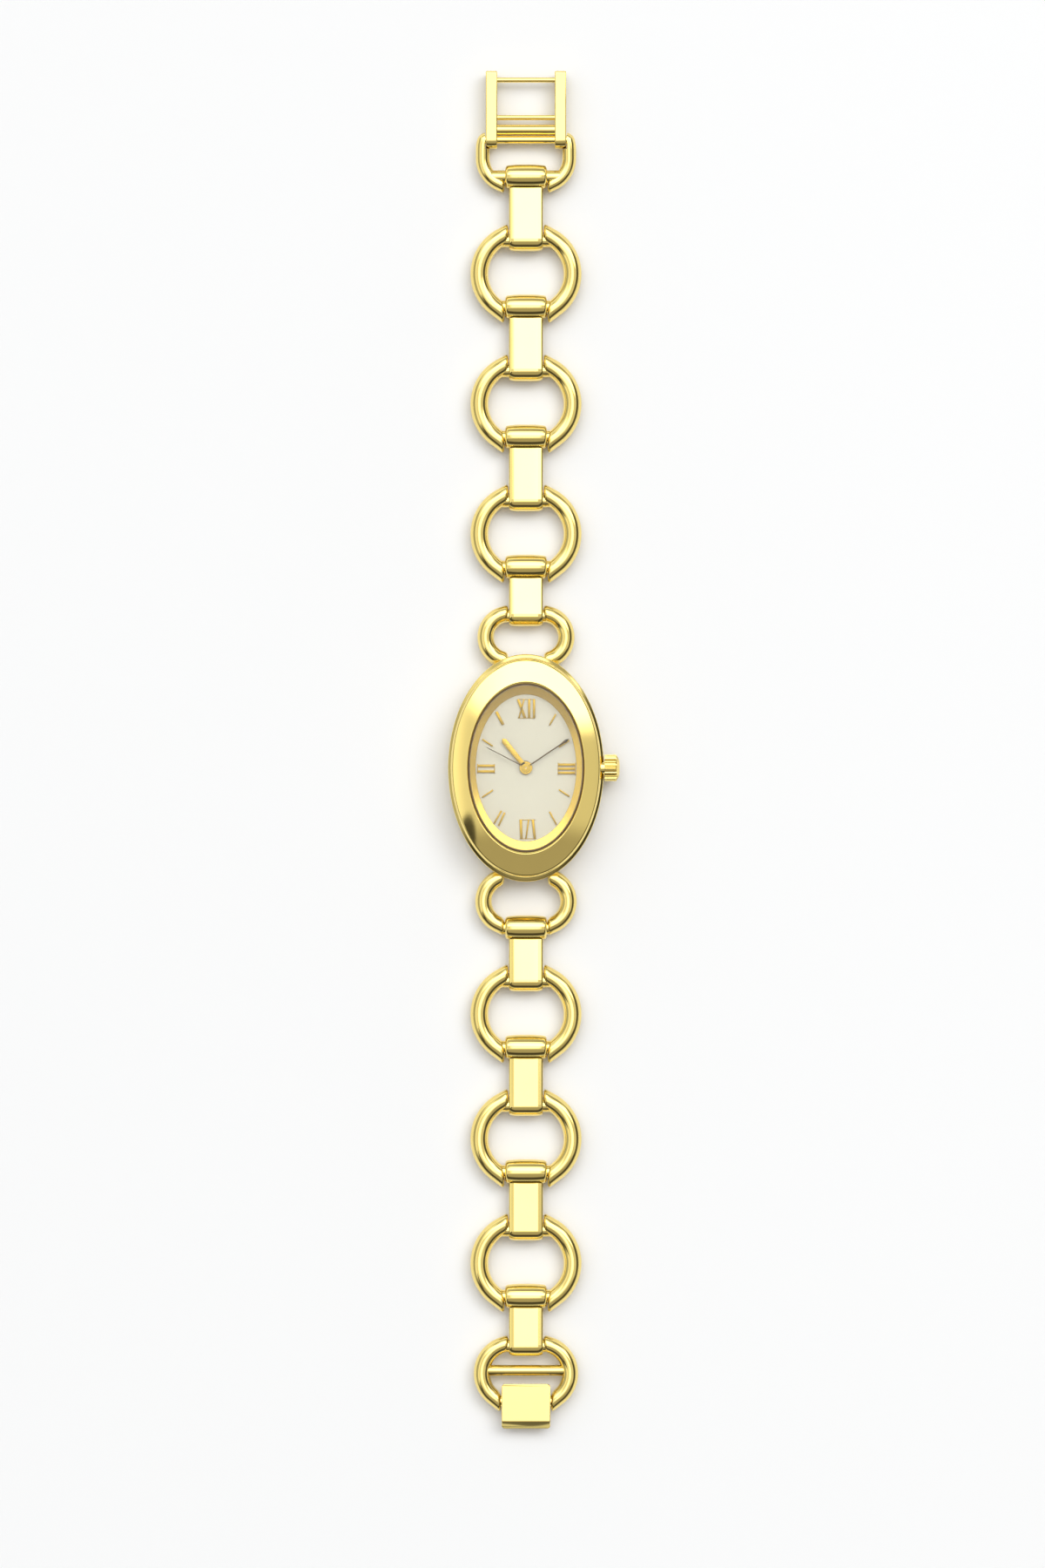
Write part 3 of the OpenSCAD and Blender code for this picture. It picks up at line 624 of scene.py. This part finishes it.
class WATCH_OT_case(bpy.types.Operator):
    """Case body with its flange, and the bezel with its sloping face"""

    bl_idname = "watch.case"
    bl_label = "Case and bezel"

    def execute(self, context):
        s = context.scene.watch_sizes
        e = 0.12 * MM
        bm = bmesh.new()
        flange_z = s.case_top - 1.4 * MM
        inner = s.case_half - 1.7 * MM
        lathe(bm, [(inner, s.back_height, 0), (s.case_half, s.back_height, e), (s.case_half, flange_z, 0),
                   (s.flange_half, flange_z, e), (s.flange_half, flange_z + 0.42 * MM, 0.1 * MM),
                   (s.case_half + 0.2 * MM, flange_z + 0.62 * MM, 0.04 * MM),
                   (s.case_half, flange_z + 0.9 * MM, 0), (s.case_half, s.case_top, 0), (inner, s.case_top, 0)],
              ROUND_STEPS, s.ratio)
        piece(bm, "Case", "gold", "case", ["case_middle"])
        bm = bmesh.new()
        low = s.bezel_top - s.bezel_drop
        span = s.bezel_half ** 2 - s.aperture_half ** 2
        face = []
        for k in range(1, 8):
            a = s.bezel_half + (s.aperture_half - s.bezel_half) * k / 8
            face.append((a, s.bezel_top - s.bezel_drop * (a * a - s.aperture_half ** 2) / span, 0))
        lathe(bm, [(s.aperture_half, s.case_top, 0), (s.bezel_half, s.case_top, 0), (s.bezel_half, low, 0.36 * MM)]
              + face + [(s.aperture_half + 0.16 * MM, s.bezel_top - 0.05 * MM, 0.03 * MM),
                        (s.aperture_half, s.bezel_top - 0.25 * MM, 0.03 * MM)], ROUND_STEPS, s.ratio)
        piece(bm, "Bezel", "gold", "case", ["bezel"])
        return {"FINISHED"}


class WATCH_OT_glass(bpy.types.Operator):
    """Crystal, its gasket and the sloping ring round the dial"""

    bl_idname = "watch.glass"
    bl_label = "Crystal and dial ring"

    def execute(self, context):
        s = context.scene.watch_sizes
        bm = bmesh.new()
        bmesh.ops.create_circle(bm, cap_ends=True, segments=ROUND_STEPS, radius=s.glass_half,
                                matrix=Matrix.Translation((0, 0, s.glass_low)))
        verts, _ = push(bm, bm.faces[:][0], (0, 0, s.bezel_top + 0.1 * MM - s.glass_low))
        ease(bm, inside(bm, verts), 0.16 * MM, 2)
        bmesh.ops.scale(bm, vec=(1, s.ratio, 1), verts=bm.verts)
        piece(bm, "Crystal", "glass", "case", ["crystal"])
        bm = bmesh.new()
        seal_top = s.glass_low + 0.8 * MM
        lathe(bm, [(s.glass_half, s.glass_low, 0), (s.aperture_half, s.glass_low, 0),
                   (s.aperture_half, seal_top, 0.05 * MM), (s.glass_half, seal_top, 0.05 * MM)],
              SEAL_STEPS, s.ratio)
        # The gasket's dark finish is painted shade for the gap at the bezel's inner edge.
        piece(bm, "Crystal_gasket", "seal", "case", ["crystal_gasket"])
        bm = bmesh.new()
        lathe(bm, [(s.dial_half, s.case_top, 0), (s.aperture_half, s.case_top, 0), (s.aperture_half, s.glass_low, 0),
                   (s.glass_half + 0.06 * MM, s.glass_low, 0.03 * MM),
                   (s.glass_half + 0.02 * MM, s.case_top + 0.42 * MM, 0.12 * MM),
                   (s.dial_half, s.case_top + 0.16 * MM, 0.05 * MM)],
              ROUND_STEPS, s.ratio)
        piece(bm, "Dial_ring", "slope_gold", "case", ["dial_ring"])
        return {"FINISHED"}


class WATCH_OT_dial(bpy.types.Operator):
    """Dial plate with its centre hole"""

    bl_idname = "watch.dial"
    bl_label = "Dial"

    def execute(self, context):
        s = context.scene.watch_sizes
        bm = bmesh.new()
        low = s.case_top - 0.4 * MM
        lathe(bm, [(0.64 * MM, low, 0), (s.dial_plate_half, low, 0), (s.dial_plate_half, s.case_top, 0.05 * MM),
                   (0.66 * MM, s.case_top, 0.04 * MM)], SEAL_STEPS, s.ratio)
        piece(bm, "Dial", "dial", "case", ["dial"])
        return {"FINISHED"}


def mark(bm, x, y, length, width, turn, base, height=0.22):
    """Raised bar of the dial with its top edges chamfered, in millimetres except for the base's height."""
    block(bm, (width * MM, length * MM, height * MM), (x * MM, y * MM, base + height * MM / 2), turn,
          min(width, height) * 0.12 * MM, True)


class WATCH_OT_marks(bpy.types.Operator):
    """Raised numerals and thin batons of the dial"""

    bl_idname = "watch.marks"
    bl_label = "Hour marks"

    def execute(self, context):
        z = context.scene.watch_sizes.case_top
        bm = bmesh.new()

        def sign(x, y, turn, bars):
            """Numeral about (x, y): bars of (x, y, length, width, lean), its thin cross bars lower than the rest."""
            c, n = math.cos(turn), math.sin(turn)
            for bx, by, length, width, lean in bars:
                mark(bm, x + bx * c - by * n, y + bx * n + by * c, length, width, turn + math.radians(lean), z,
                     0.12 if length < 0.2 else 0.22)

        sign(0.03, 8.0, 0, [(-0.63, 0, 2.7, 0.36, 20), (-0.63, 0, 2.65, 0.2, -15.5), (0.4, 0, 2.6, 0.32, 0),
                            (1.06, 0, 2.6, 0.32, 0), (0.05, 1.26, 0.09, 2.35, 0), (0.05, -1.26, 0.09, 2.35, 0)])
        sign(5.5, -0.14, -QUARTER, [(k * 0.55, 0, 2.3, 0.36, 0) for k in (-1, 0, 1)]
             + [(0, 1.15, 0.09, 1.7, 0), (0, -1.15, 0.09, 1.7, 0)])
        sign(0.2, -8.3, 0, [(-0.86, 0, 2.6, 0.36, 2), (-0.02, 0, 2.65, 0.2, -8), (0.86, 0, 2.65, 0.34, 6),
                            (0, 1.28, 0.1, 2.2, 0), (0, -1.28, 0.08, 2.2, 0)])
        sign(-5.4, -0.12, QUARTER, [(-0.38, 0, 2.3, 0.36, 0), (0.38, 0, 2.3, 0.36, 0),
                                        (0, 1.15, 0.1, 1.3, 0), (0, -1.15, 0.1, 1.3, 0)])
        for x, y, length, width in ((3.6, 6.5, 1.75, 0.22), (5.15, 3.25, 1.7, 0.22), (5.15, -3.4, 1.7, 0.22),
                                    (3.65, -6.8, 2.0, 0.22), (-3.81, -6.66, 2.0, 0.24), (-3.29, -6.94, 2.0, 0.24),
                                    (-5.2, -3.5, 1.8, 0.22), (-5.2, 3.4, 1.7, 0.22), (-3.55, 6.7, 2.0, 0.4)):
            mark(bm, x, y, length, width, math.atan2(y, x) - QUARTER, z)
        piece(bm, "Hour_marks", "mark_gold", "case", ["hour_markers"])
        return {"FINISHED"}


def hand(body, key, length, neck, swell, width, boss, bore, z, at):
    """Slim hand with bevelled edges, a pointed tip and a pierced boss."""
    t, tail = 0.12 * MM, 0.3 * MM
    bm = bmesh.new()
    face = outline(bm, [(-neck / 2, 0, 0), (-neck / 2, -tail, 0), (neck / 2, -tail, 0), (neck / 2, 0, 0),
                        (neck / 2, length * swell, 0), (width / 2, length * 0.92, 0), (0, length, 0),
                        (-width / 2, length * 0.92, 0), (-neck / 2, length * swell, 0)],
                   lambda a, b: (a, b, z))
    raised, _ = push(bm, face, (0, 0, t))
    ease(bm, inside(bm, raised), min(t, neck) * 0.3, 2)
    lathe(bm, [(bore, z, 0), (boss, z, 0.02 * MM), (boss, z + t, 0.03 * MM), (bore, z + t, 0.02 * MM)], 48)
    bmesh.ops.rotate(bm, cent=(0, 0, 0), matrix=Matrix.Rotation(-math.radians(at), 3, "Z"), verts=bm.verts)
    piece(bm, f"{body.capitalize()}_hand", key, body, [f"{body}_hand"])


class WATCH_OT_hands(bpy.types.Operator):
    """Hour, minute and second hands at ten past ten"""

    bl_idname = "watch.hands"
    bl_label = "Hands"

    def execute(self, context):
        z = context.scene.watch_sizes.case_top
        hand("hour", "hand_gold", 5.1 * MM, 0.7 * MM, 0.4, 0.76 * MM, 0.87 * MM, 0.54 * MM, z + 0.35 * MM, 321)
        hand("minute", "slim_gold", 7.07 * MM, 0.17 * MM, 0.8, 0.42 * MM, 0.6 * MM, 0.34 * MM, z + 0.62 * MM, 56)
        hand("second", "slim_gold", 6.2 * MM, 0.12 * MM, 0.5, 0.1 * MM, 0.4 * MM, 0.14 * MM, z + 0.82 * MM, 297.5)
        return {"FINISHED"}


class WATCH_OT_crown(bpy.types.Operator):
    """Fluted crown with its domed end"""

    bl_idname = "watch.crown"
    bl_label = "Crown"

    def execute(self, context):
        s = context.scene.watch_sizes
        low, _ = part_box("crown")
        bm = bmesh.new()
        made = bmesh.ops.create_circle(
            bm, cap_ends=True, segments=s.crown_flutes * 6, radius=s.crown_radius,
            matrix=Matrix.Rotation(QUARTER, 4, "Y"))["verts"]
        made.sort(key=lambda v: math.atan2(v.co.y, v.co.z))
        valley = [v for k, v in enumerate(made) if k % 6 in (0, 1)]
        slope = [v for k, v in enumerate(made) if k % 6 in (2, 5)]
        bmesh.ops.scale(bm, vec=(1, 0.88, 0.88), verts=valley)
        bmesh.ops.scale(bm, vec=(1, 0.97, 0.97), verts=slope)
        face = bm.faces[:][0]
        body_len = s.crown_length * 0.78
        for advance, shrink in ((0.0, 1.0), (0.12 * MM, 1.0), (body_len - 0.3 * MM, 1.0), (0.16 * MM, 0.975),
                                (0.1 * MM, 0.9), (0.12 * MM, 0.86), (0.12 * MM, 0.8), (0.08 * MM, 0.6),
                                (0.03 * MM, 0.3)):
            verts, face = push(bm, face, (advance, 0, 0))
            bmesh.ops.scale(bm, vec=(1, shrink, shrink), verts=verts)
        shift(bm, (low.x, 0, HINGE["crown_turn"].z))
        piece(bm, "Crown", "gold", "crown", ["crown"], 28)
        return {"FINISHED"}


class WATCH_OT_back(bpy.types.Operator):
    """Snap case back with its grooved plug, brushed"""

    bl_idname = "watch.back"
    bl_label = "Case back"

    def execute(self, context):
        s = context.scene.watch_sizes
        bm = bmesh.new()
        plug = s.case_half - 1.8 * MM
        groove = plug - 0.25 * MM
        groove_top, plug_top = s.back_height + 0.3 * MM, s.back_height + 0.5 * MM
        lathe(bm, [(0, 0, 0), (s.back_half, 0, 0.25 * MM), (s.back_half, s.back_height, 0),
                   (groove, s.back_height, 0), (groove, groove_top, 0), (plug, groove_top, 0),
                   (plug, plug_top, 0.05 * MM), (0, plug_top, 0)], SEAL_STEPS, s.ratio)
        piece(bm, "Case_back", "steel", "case", ["case_back"])
        return {"FINISHED"}


# Bracelet

def solve_arm(half, notch, reach):
    """Radius of an arm whose tube runs from the widest point to the notch."""
    run = half - notch
    return (run * run + reach * reach) / (2 * run)


class WATCH_OT_lugs(bpy.types.Operator):
    """Two oval lugs under the case's flange, each with its hinge bar"""

    bl_idname = "watch.lugs"
    bl_label = "Lugs"

    def execute(self, context):
        s = context.scene.watch_sizes
        wide = s.barrel_width / 2 + s.play
        narrow = s.plate_width / 2 + s.play
        for name, node, width, y, reach, notch, hinge in (
                ("Lug_12", "lug_12", 13.2 * MM, 17.76 * MM, 3.15 * MM, narrow, "upper_link_1_hinge"),
                ("Lug_6", "lug_6", 13.8 * MM, -18.1 * MM, 3.35 * MM, wide, "lower_link_1_hinge")):
            half = width / 2 - s.lug_tube
            radius = solve_arm(half, notch, reach)
            bm = bmesh.new()
            arm_pair(bm, half - radius, radius, s.lug_tube, notch, notch)
            shift(bm, (0, y, HINGE_Z))
            rod(bm, s.bar_radius, 2 * notch + BAR_HOLD, HINGE[hinge])
            piece(bm, name, "gold", "case", [node])
        return {"FINISHED"}


class WATCH_OT_rings(bpy.types.Operator):
    """Six slightly flattened rings, each notched for the loops on its two bars"""

    bl_idname = "watch.rings"
    bl_label = "Rings"

    def execute(self, context):
        s = context.scene.watch_sizes
        wide = s.barrel_width / 2 + s.play
        narrow = s.plate_width / 2 + s.play
        offset = s.ring_half - s.ring_arc
        bar = 2 * (offset + math.sqrt(s.ring_arc ** 2 - s.ring_bar ** 2)) - 0.9 * MM
        for half in ("upper", "lower"):
            for k in (1, 2, 3):
                node = f"{half}_ring_{k}"
                centre = Vector((0, (HINGE[f"{node}_hinge"].y + HINGE[f"{half}_link_{k + 1}_hinge"].y) / 2, HINGE_Z))
                bm = bmesh.new()
                arm_pair(bm, offset, s.ring_arc, s.ring_tube, narrow, wide)
                for y in (-s.ring_bar, s.ring_bar):
                    rod(bm, s.bar_radius, bar, Vector((0, y, 0)))
                shift(bm, centre)
                piece(bm, node.capitalize(), "gold", node, [node])
        return {"FINISHED"}


class WATCH_OT_links(bpy.types.Operator):
    """Eight folded links: a wide crowned barrel, a flat plate and a narrow loop"""

    bl_idname = "watch.links"
    bl_label = "Links"

    def execute(self, context):
        s = context.scene.watch_sizes
        bore = s.bar_radius + BORE_PLAY
        half = s.barrel_width / 2
        brow, end = half * 0.45, s.barrel_radius - 0.16 * MM
        ends = {f"upper_link_{k}": (f"upper_link_{k}_hinge", f"upper_ring_{k}_hinge") for k in (1, 2, 3)}
        ends["upper_link_4"] = ("upper_link_4_hinge", "upper_end_ring_hinge")
        ends.update({f"lower_link_{k}": (f"lower_ring_{k}_hinge", f"lower_link_{k}_hinge") for k in (1, 2, 3)})
        ends["lower_link_4"] = ("lower_end_ring_hinge", "lower_link_4_hinge")
        for node, (loop, barrel) in ends.items():
            length = HINGE[barrel].y - HINGE[loop].y
            bm = bmesh.new()
            lathe(bm, [(bore, -half, 0.05 * MM), (end, -half, 0.42 * MM), (s.barrel_radius, -brow, 0.5 * MM),
                       (s.barrel_radius, brow, 0.5 * MM), (end, half, 0.42 * MM), (bore, half, 0.05 * MM)],
                  64, axis="X")
            plate = bmesh.new()
            run = length - 1.0 * MM
            strip_run(plate, s.plate_width, s.loop_radius - s.strip, s.loop_radius, run,
                      [("run", run), ("bend", 0, 0, math.radians(300), 40)])
            under = length - 2.4 * MM
            block(plate, (s.plate_width - 0.1 * MM, under, s.strip),
                  (0, 0.7 * MM + under / 2, s.loop_radius - 1.5 * s.strip), 0, 0.1 * MM)
            tilt = math.asin((s.loop_radius - s.plate_low) / (length - s.barrel_radius))
            bmesh.ops.rotate(plate, cent=(0, 0, 0), matrix=Matrix.Rotation(-tilt, 3, "X"), verts=plate.verts)
            shift(plate, (0, -length, 0))
            join(bm, plate)
            shift(bm, HINGE[barrel])
            piece(bm, node.capitalize(), "gold", node, [node])
        return {"FINISHED"}


class WATCH_OT_upper_end(bpy.types.Operator):
    """D-shaped end ring of the 12 side"""

    bl_idname = "watch.upper_end"
    bl_label = "Upper end ring"

    def execute(self, context):
        s = context.scene.watch_sizes
        wide = s.barrel_width / 2 + s.play
        link_bar, ladder_bar = HINGE["upper_end_ring_hinge"], HINGE["ladder_hinge"]
        radius, tube = 3.7 * MM, 0.95 * MM
        half = s.ladder_width / 2 + 0.42 * MM
        arc_x = half - radius
        centre = link_bar + Vector((0, 2.5 * MM, 0))
        rise = ladder_bar.y - centre.y
        floor = 1.2 * MM
        bm = bmesh.new()
        minus, to_minus = run_out(arc_x, radius, tube, wide + 0.4 * MM, -1)
        start = tube_ring(bm, arc_x, radius, tube, -minus)
        top = carry(bm, sweep(bm, start, arc_x, minus, 32), Matrix.Translation((0, floor, 0)))
        bmesh.ops.holes_fill(bm, edges=top, sides=0)
        round_end(bm, carry(bm, start, to_minus), Vector((-1, to_minus[1][0], 0)), 0.4 * MM)
        mirror_twin(bm)
        cheek = bmesh.new()
        rim = tube_ring(cheek, 0, half, tube, 0)
        bmesh.ops.holes_fill(cheek, edges=rim, sides=0)
        bmesh.ops.translate(cheek, vec=(0, floor, 0), verts=cheek.verts)
        for lean in (0.04 * MM, 0.14 * MM):
            rim = carry(cheek, rim, Matrix.Translation((-lean, (rise - floor) / 2, 0)))
        for step in range(1, 9):
            a, b = math.radians(11 * (step - 1)), math.radians(11 * step)
            shrink = math.cos(b) / math.cos(a)
            lift = tube * (math.sin(b) - math.sin(a))
            rim = carry(cheek, rim, Matrix.Translation((half - 0.23 * MM, lift, 0))
                        @ Matrix.Diagonal((shrink, 1, shrink, 1)) @ Matrix.Translation((0.18 * MM - half, 0, 0)))
        bmesh.ops.bisect_plane(cheek, geom=list(cheek.verts) + list(cheek.edges) + list(cheek.faces), dist=1e-8,
                               plane_co=(s.ladder_width / 2 + s.play, 0, 0), plane_no=(1, 0, 0), clear_inner=True)
        bmesh.ops.holes_fill(cheek, edges=[e for e in cheek.edges if e.is_boundary], sides=0)
        mirror_twin(cheek)
        join(bm, cheek)
        shift(bm, centre)
        rod(bm, s.bar_radius, 2 * (arc_x + math.sqrt(radius ** 2 - (centre.y - link_bar.y) ** 2)), link_bar)
        rod(bm, 0.55 * MM, 2 * half, ladder_bar)
        piece(bm, "Upper_end_ring", "gold", "upper_end_ring", ["upper_end_ring"])
        return {"FINISHED"}


class WATCH_OT_ladder(bpy.types.Operator):
    """Ladder: two flat-topped rails, two thin rungs and a stay"""

    bl_idname = "watch.ladder"
    bl_label = "Ladder"

    def execute(self, context):
        s = context.scene.watch_sizes
        hinge = HINGE["ladder_hinge"]
        half = s.rail_height / 2
        for side, name in ((-1, "left"), (1, "right")):
            x = side * (s.ladder_width - s.rail_width) / 2
            bm = bmesh.new()
            face = outline(bm, [(-half, -half, half * 0.98), (s.ladder_length, -half, 0.5 * MM),
                                (s.ladder_length, half, 0.3 * MM), (-half, half, half * 0.9)],
                           lambda a, b: (-s.rail_width / 2, a, b))
            widen(bm, face, s.rail_width, 0.14 * MM)
            shift(bm, (x, hinge.y, hinge.z))
            piece(bm, f"Ladder_rail_{name}", "gold", "ladder", [f"ladder_rail_{name}"])
        rung, stay = 0.35 * MM, 0.7 * MM
        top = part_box("ladder_rungs")[1].y - rung
        bm = bmesh.new()
        for y, radius in ((top, rung), (top - 5.1 * MM, rung), (hinge.y + 1.35 * MM, stay)):
            rod(bm, radius, s.ladder_width - 0.1 * MM, Vector((0, y, hinge.z)))
        piece(bm, "Ladder_rungs", "gold", "ladder", ["ladder_rungs"])
        return {"FINISHED"}


class WATCH_OT_lower_end(bpy.types.Operator):
    """Oval end ring of the 6 side with its cross bar"""

    bl_idname = "watch.lower_end"
    bl_label = "Lower end ring"

    def execute(self, context):
        s = context.scene.watch_sizes
        narrow = s.plate_width / 2 + s.play
        hook = s.hook_width / 2 + s.play
        link_bar, hook_bar = HINGE["lower_end_ring_hinge"], HINGE["hook_hinge"]
        centre = (link_bar + hook_bar) / 2
        half = 6.0 * MM
        radius = solve_arm(half, narrow, 4.0 * MM)
        bm = bmesh.new()
        arm_pair(bm, half - radius, radius, 1.1 * MM, narrow, hook)
        shift(bm, centre)
        rod(bm, s.bar_radius, 2 * narrow + BAR_HOLD, link_bar)
        rod(bm, 0.75 * MM, 2 * hook + BAR_HOLD, hook_bar)
        piece(bm, "Lower_end_ring", "gold", "lower_end_ring", ["lower_end_ring"])
        low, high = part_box("cross_bar")
        bm = bmesh.new()
        rod(bm, 0.74 * MM, high.x - low.x, (low + high) / 2, 0.1 * MM)
        piece(bm, "Cross_bar", "gold", "lower_end_ring", ["cross_bar"])
        return {"FINISHED"}


class WATCH_OT_hook(bpy.types.Operator):
    """Fold-over hook plate with its knuckle and curled lip"""

    bl_idname = "watch.hook"
    bl_label = "Hook plate"

    def execute(self, context):
        s = context.scene.watch_sizes
        hinge = HINGE["hook_hinge"]
        loop, bore, t = 1.15 * MM, 0.8 * MM, 0.5 * MM
        fall, brow = s.hook_reach - 1.0 * MM, 0.4 * MM
        bm = bmesh.new()
        face = outline(bm, [(2.4 * MM, loop - t, 0), (2.4 * MM, loop, 0), (-fall, loop, 0.12 * MM),
                            (-s.hook_reach, brow, 0), (-s.hook_reach, -0.2 * MM, 0),
                            (t - s.hook_reach, -0.2 * MM, 0), (t - s.hook_reach, brow - 0.2 * MM, 0),
                            (0.2 * MM - fall, loop - t, 0)], lambda a, b: (-s.hook_width / 2, a, b))
        widen(bm, face, s.hook_width, 0.1 * MM, 0.42 * MM)
        half = s.hook_width / 2
        lathe(bm, [(bore, -half, 0.04 * MM), (loop, -half, 0.1 * MM), (loop, half, 0.1 * MM),
                   (bore, half, 0.04 * MM)], 48, axis="X")
        shift(bm, hinge)
        piece(bm, "Hook_plate", "gold", "hook", ["hook_plate"])
        return {"FINISHED"}


class WATCH_OT_movement(bpy.types.Operator):
    """Finishes of the solids that stay as they are: movement, stem, gaskets and case tube"""

    bl_idname = "watch.movement"
    bl_label = "Movement finishes"

    def execute(self, context):
        for key, nodes in {
            "gold": ("crown_tube",),
            "rubber": ("back_gasket", "crown_gasket"),
            "nylon": ("movement_holder",),
            "brass": ("movement_plate", "battery_clamp", "hour_wheel", "minute_wheel", "second_wheel"),
            "steel": ("train_bridge",),
            "stem_steel": ("stem", "cannon_pinion", "clutch_pinion"),
            "copper": ("coil",),
            "battery": ("battery",),
        }.items():
            for node in nodes:
                mesh = frame["nodes"][node].data
                mesh.materials.clear()
                mesh.materials.append(finish(key))
        return {"FINISHED"}


# Stage

class WATCH_OT_stage(bpy.types.Operator):
    """Pale floor, soft overhead light and the camera straight above"""

    bl_idname = "watch.stage"
    bl_label = "Stage"

    def execute(self, context):
        scene = context.scene
        bm = bmesh.new()
        bmesh.ops.create_grid(bm, x_segments=24, y_segments=24, size=4.0)
        mesh = bpy.data.meshes.new("Floor")
        bm.to_mesh(mesh)
        bm.free()
        floor = bpy.data.objects.new("Floor", mesh)
        scene.collection.objects.link(floor)
        mesh.transform(Matrix.Translation((0, 0, -0.00002)))
        mesh.materials.append(finish("floor"))

        world = bpy.data.worlds.new("Studio")
        scene.world = world
        f = Finish(world)
        way = f.node("ShaderNodeTexCoord", output="Generated")
        x, y, z = (f.node("ShaderNodeSeparateXYZ", None, {"Vector": way}, axis) for axis in "XYZ")
        aside = x.absolute()
        # Panels by their direction from the watch: overhead, to the sides, and a bright window towards 12
        over = (0.26 - aside).step(-0.06, 0.08) * (y + 0.14).step(-0.06, 0.06) * (0.3 - y).step(-0.02, 0.1)
        sides = y.step(-0.36, -0.24) * (0.46 - 0.14 * x.step(-0.3, 0.3)) * (0.8 - aside).step(-0.06, 0.12)
        span = (0.64 - (x - 0.06).absolute()).step(-0.06, 0.1) * (0.6 - y).step(-0.02, 0.1)
        far = (0.3 - aside).step(-0.06, 0.06) * y.step(0.5, 0.6) * (0.8 - y).step(-0.02, 0.08)
        bright = (y + 0.08 * x).step(0.18, 0.32) * span + 0.7 * far
        panels = 1.35 * over + sides + bright * (1.7 + 0.7 * x.step(-0.5, -0.1))
        # Dark card low on the left, warm room, pale rim near the horizon and a wall on the left
        left = ((1.7 * (x + 0.58)) ** 2 + (y + 0.35) ** 2) ** 0.5
        shade = 1.0 - 0.98 * (0.15 - left).step(0.0, 0.04)
        room = 0.05 + 0.37 * z.step(0.55, 0.75) * shade
        rim = 0.1 * (0.44 - z).step(0.0, 0.12) + 0.6 * (0.2 - z).step(0.0, 0.04)
        wall = (0.45 * (0.0 - x).step(0.42, 0.58) * z.step(0.24, 0.34) * (0.8 - z).step(0.0, 0.1)
                * y.step(-0.5, -0.3))
        lit = f.node("ShaderNodeBackground", None, {
            "Color": (0.98, 1.0, 1.02, 1), "Strength": (panels + wall) * shade + rim})
        warm = f.node("ShaderNodeBackground", None, {"Color": (1.0, 0.96, 0.9, 1), "Strength": room})
        f.out(f.node("ShaderNodeAddShader", None, {0: lit, 1: warm}))

        lamp = bpy.data.lights.new("Key", "AREA")
        lamp.shape = "RECTANGLE"
        lamp.size, lamp.size_y = 0.5, 0.4
        lamp.energy = 1.5
        key = bpy.data.objects.new("Key", lamp)
        key.location = (0.42, 0.36, 0.8)
        key.rotation_euler = (Vector((0, 0, 0)) - key.location).to_track_quat("-Z", "Y").to_euler()
        key.visible_glossy = False
        scene.collection.objects.link(key)

        lens = bpy.data.cameras.new("Camera")
        lens.lens, lens.sensor_width = 120, 36
        lens.clip_start, lens.clip_end = 0.01, 20
        camera = bpy.data.objects.new("Camera", lens)
        camera.location = (-0.00047, -0.00218, 0.711)
        scene.collection.objects.link(camera)
        scene.camera = camera
        scene.view_settings.view_transform = "Standard"
        return {"FINISHED"}


OPERATORS = (WATCH_OT_case, WATCH_OT_glass, WATCH_OT_dial, WATCH_OT_marks, WATCH_OT_hands, WATCH_OT_crown,
             WATCH_OT_back, WATCH_OT_lugs, WATCH_OT_rings, WATCH_OT_links, WATCH_OT_upper_end, WATCH_OT_ladder,
             WATCH_OT_lower_end, WATCH_OT_hook, WATCH_OT_movement, WATCH_OT_stage)


class WATCH_PT_panel(bpy.types.Panel):
    """Buttons for the watch's pieces"""

    bl_idname = "WATCH_PT_panel"
    bl_label = "Bracelet watch"
    bl_space_type = "VIEW_3D"
    bl_region_type = "UI"
    bl_category = "Watch"

    def draw(self, context):
        for operator in OPERATORS:
            self.layout.operator(operator.bl_idname)


CLASSES = (WatchSizes, WatchColours, *OPERATORS, WATCH_PT_panel)


def register():
    for item in CLASSES:
        bpy.utils.register_class(item)
    bpy.types.Scene.watch_sizes = PointerProperty(type=WatchSizes)
    bpy.types.Scene.watch_colours = PointerProperty(type=WatchColours)


def unregister():
    del bpy.types.Scene.watch_colours
    del bpy.types.Scene.watch_sizes
    for item in reversed(CLASSES):
        bpy.utils.unregister_class(item)


def main():
    register()
    for operator in OPERATORS:
        group, name = operator.bl_idname.split(".")
        getattr(getattr(bpy.ops, group), name)()


if __name__ == "__main__":
    main()
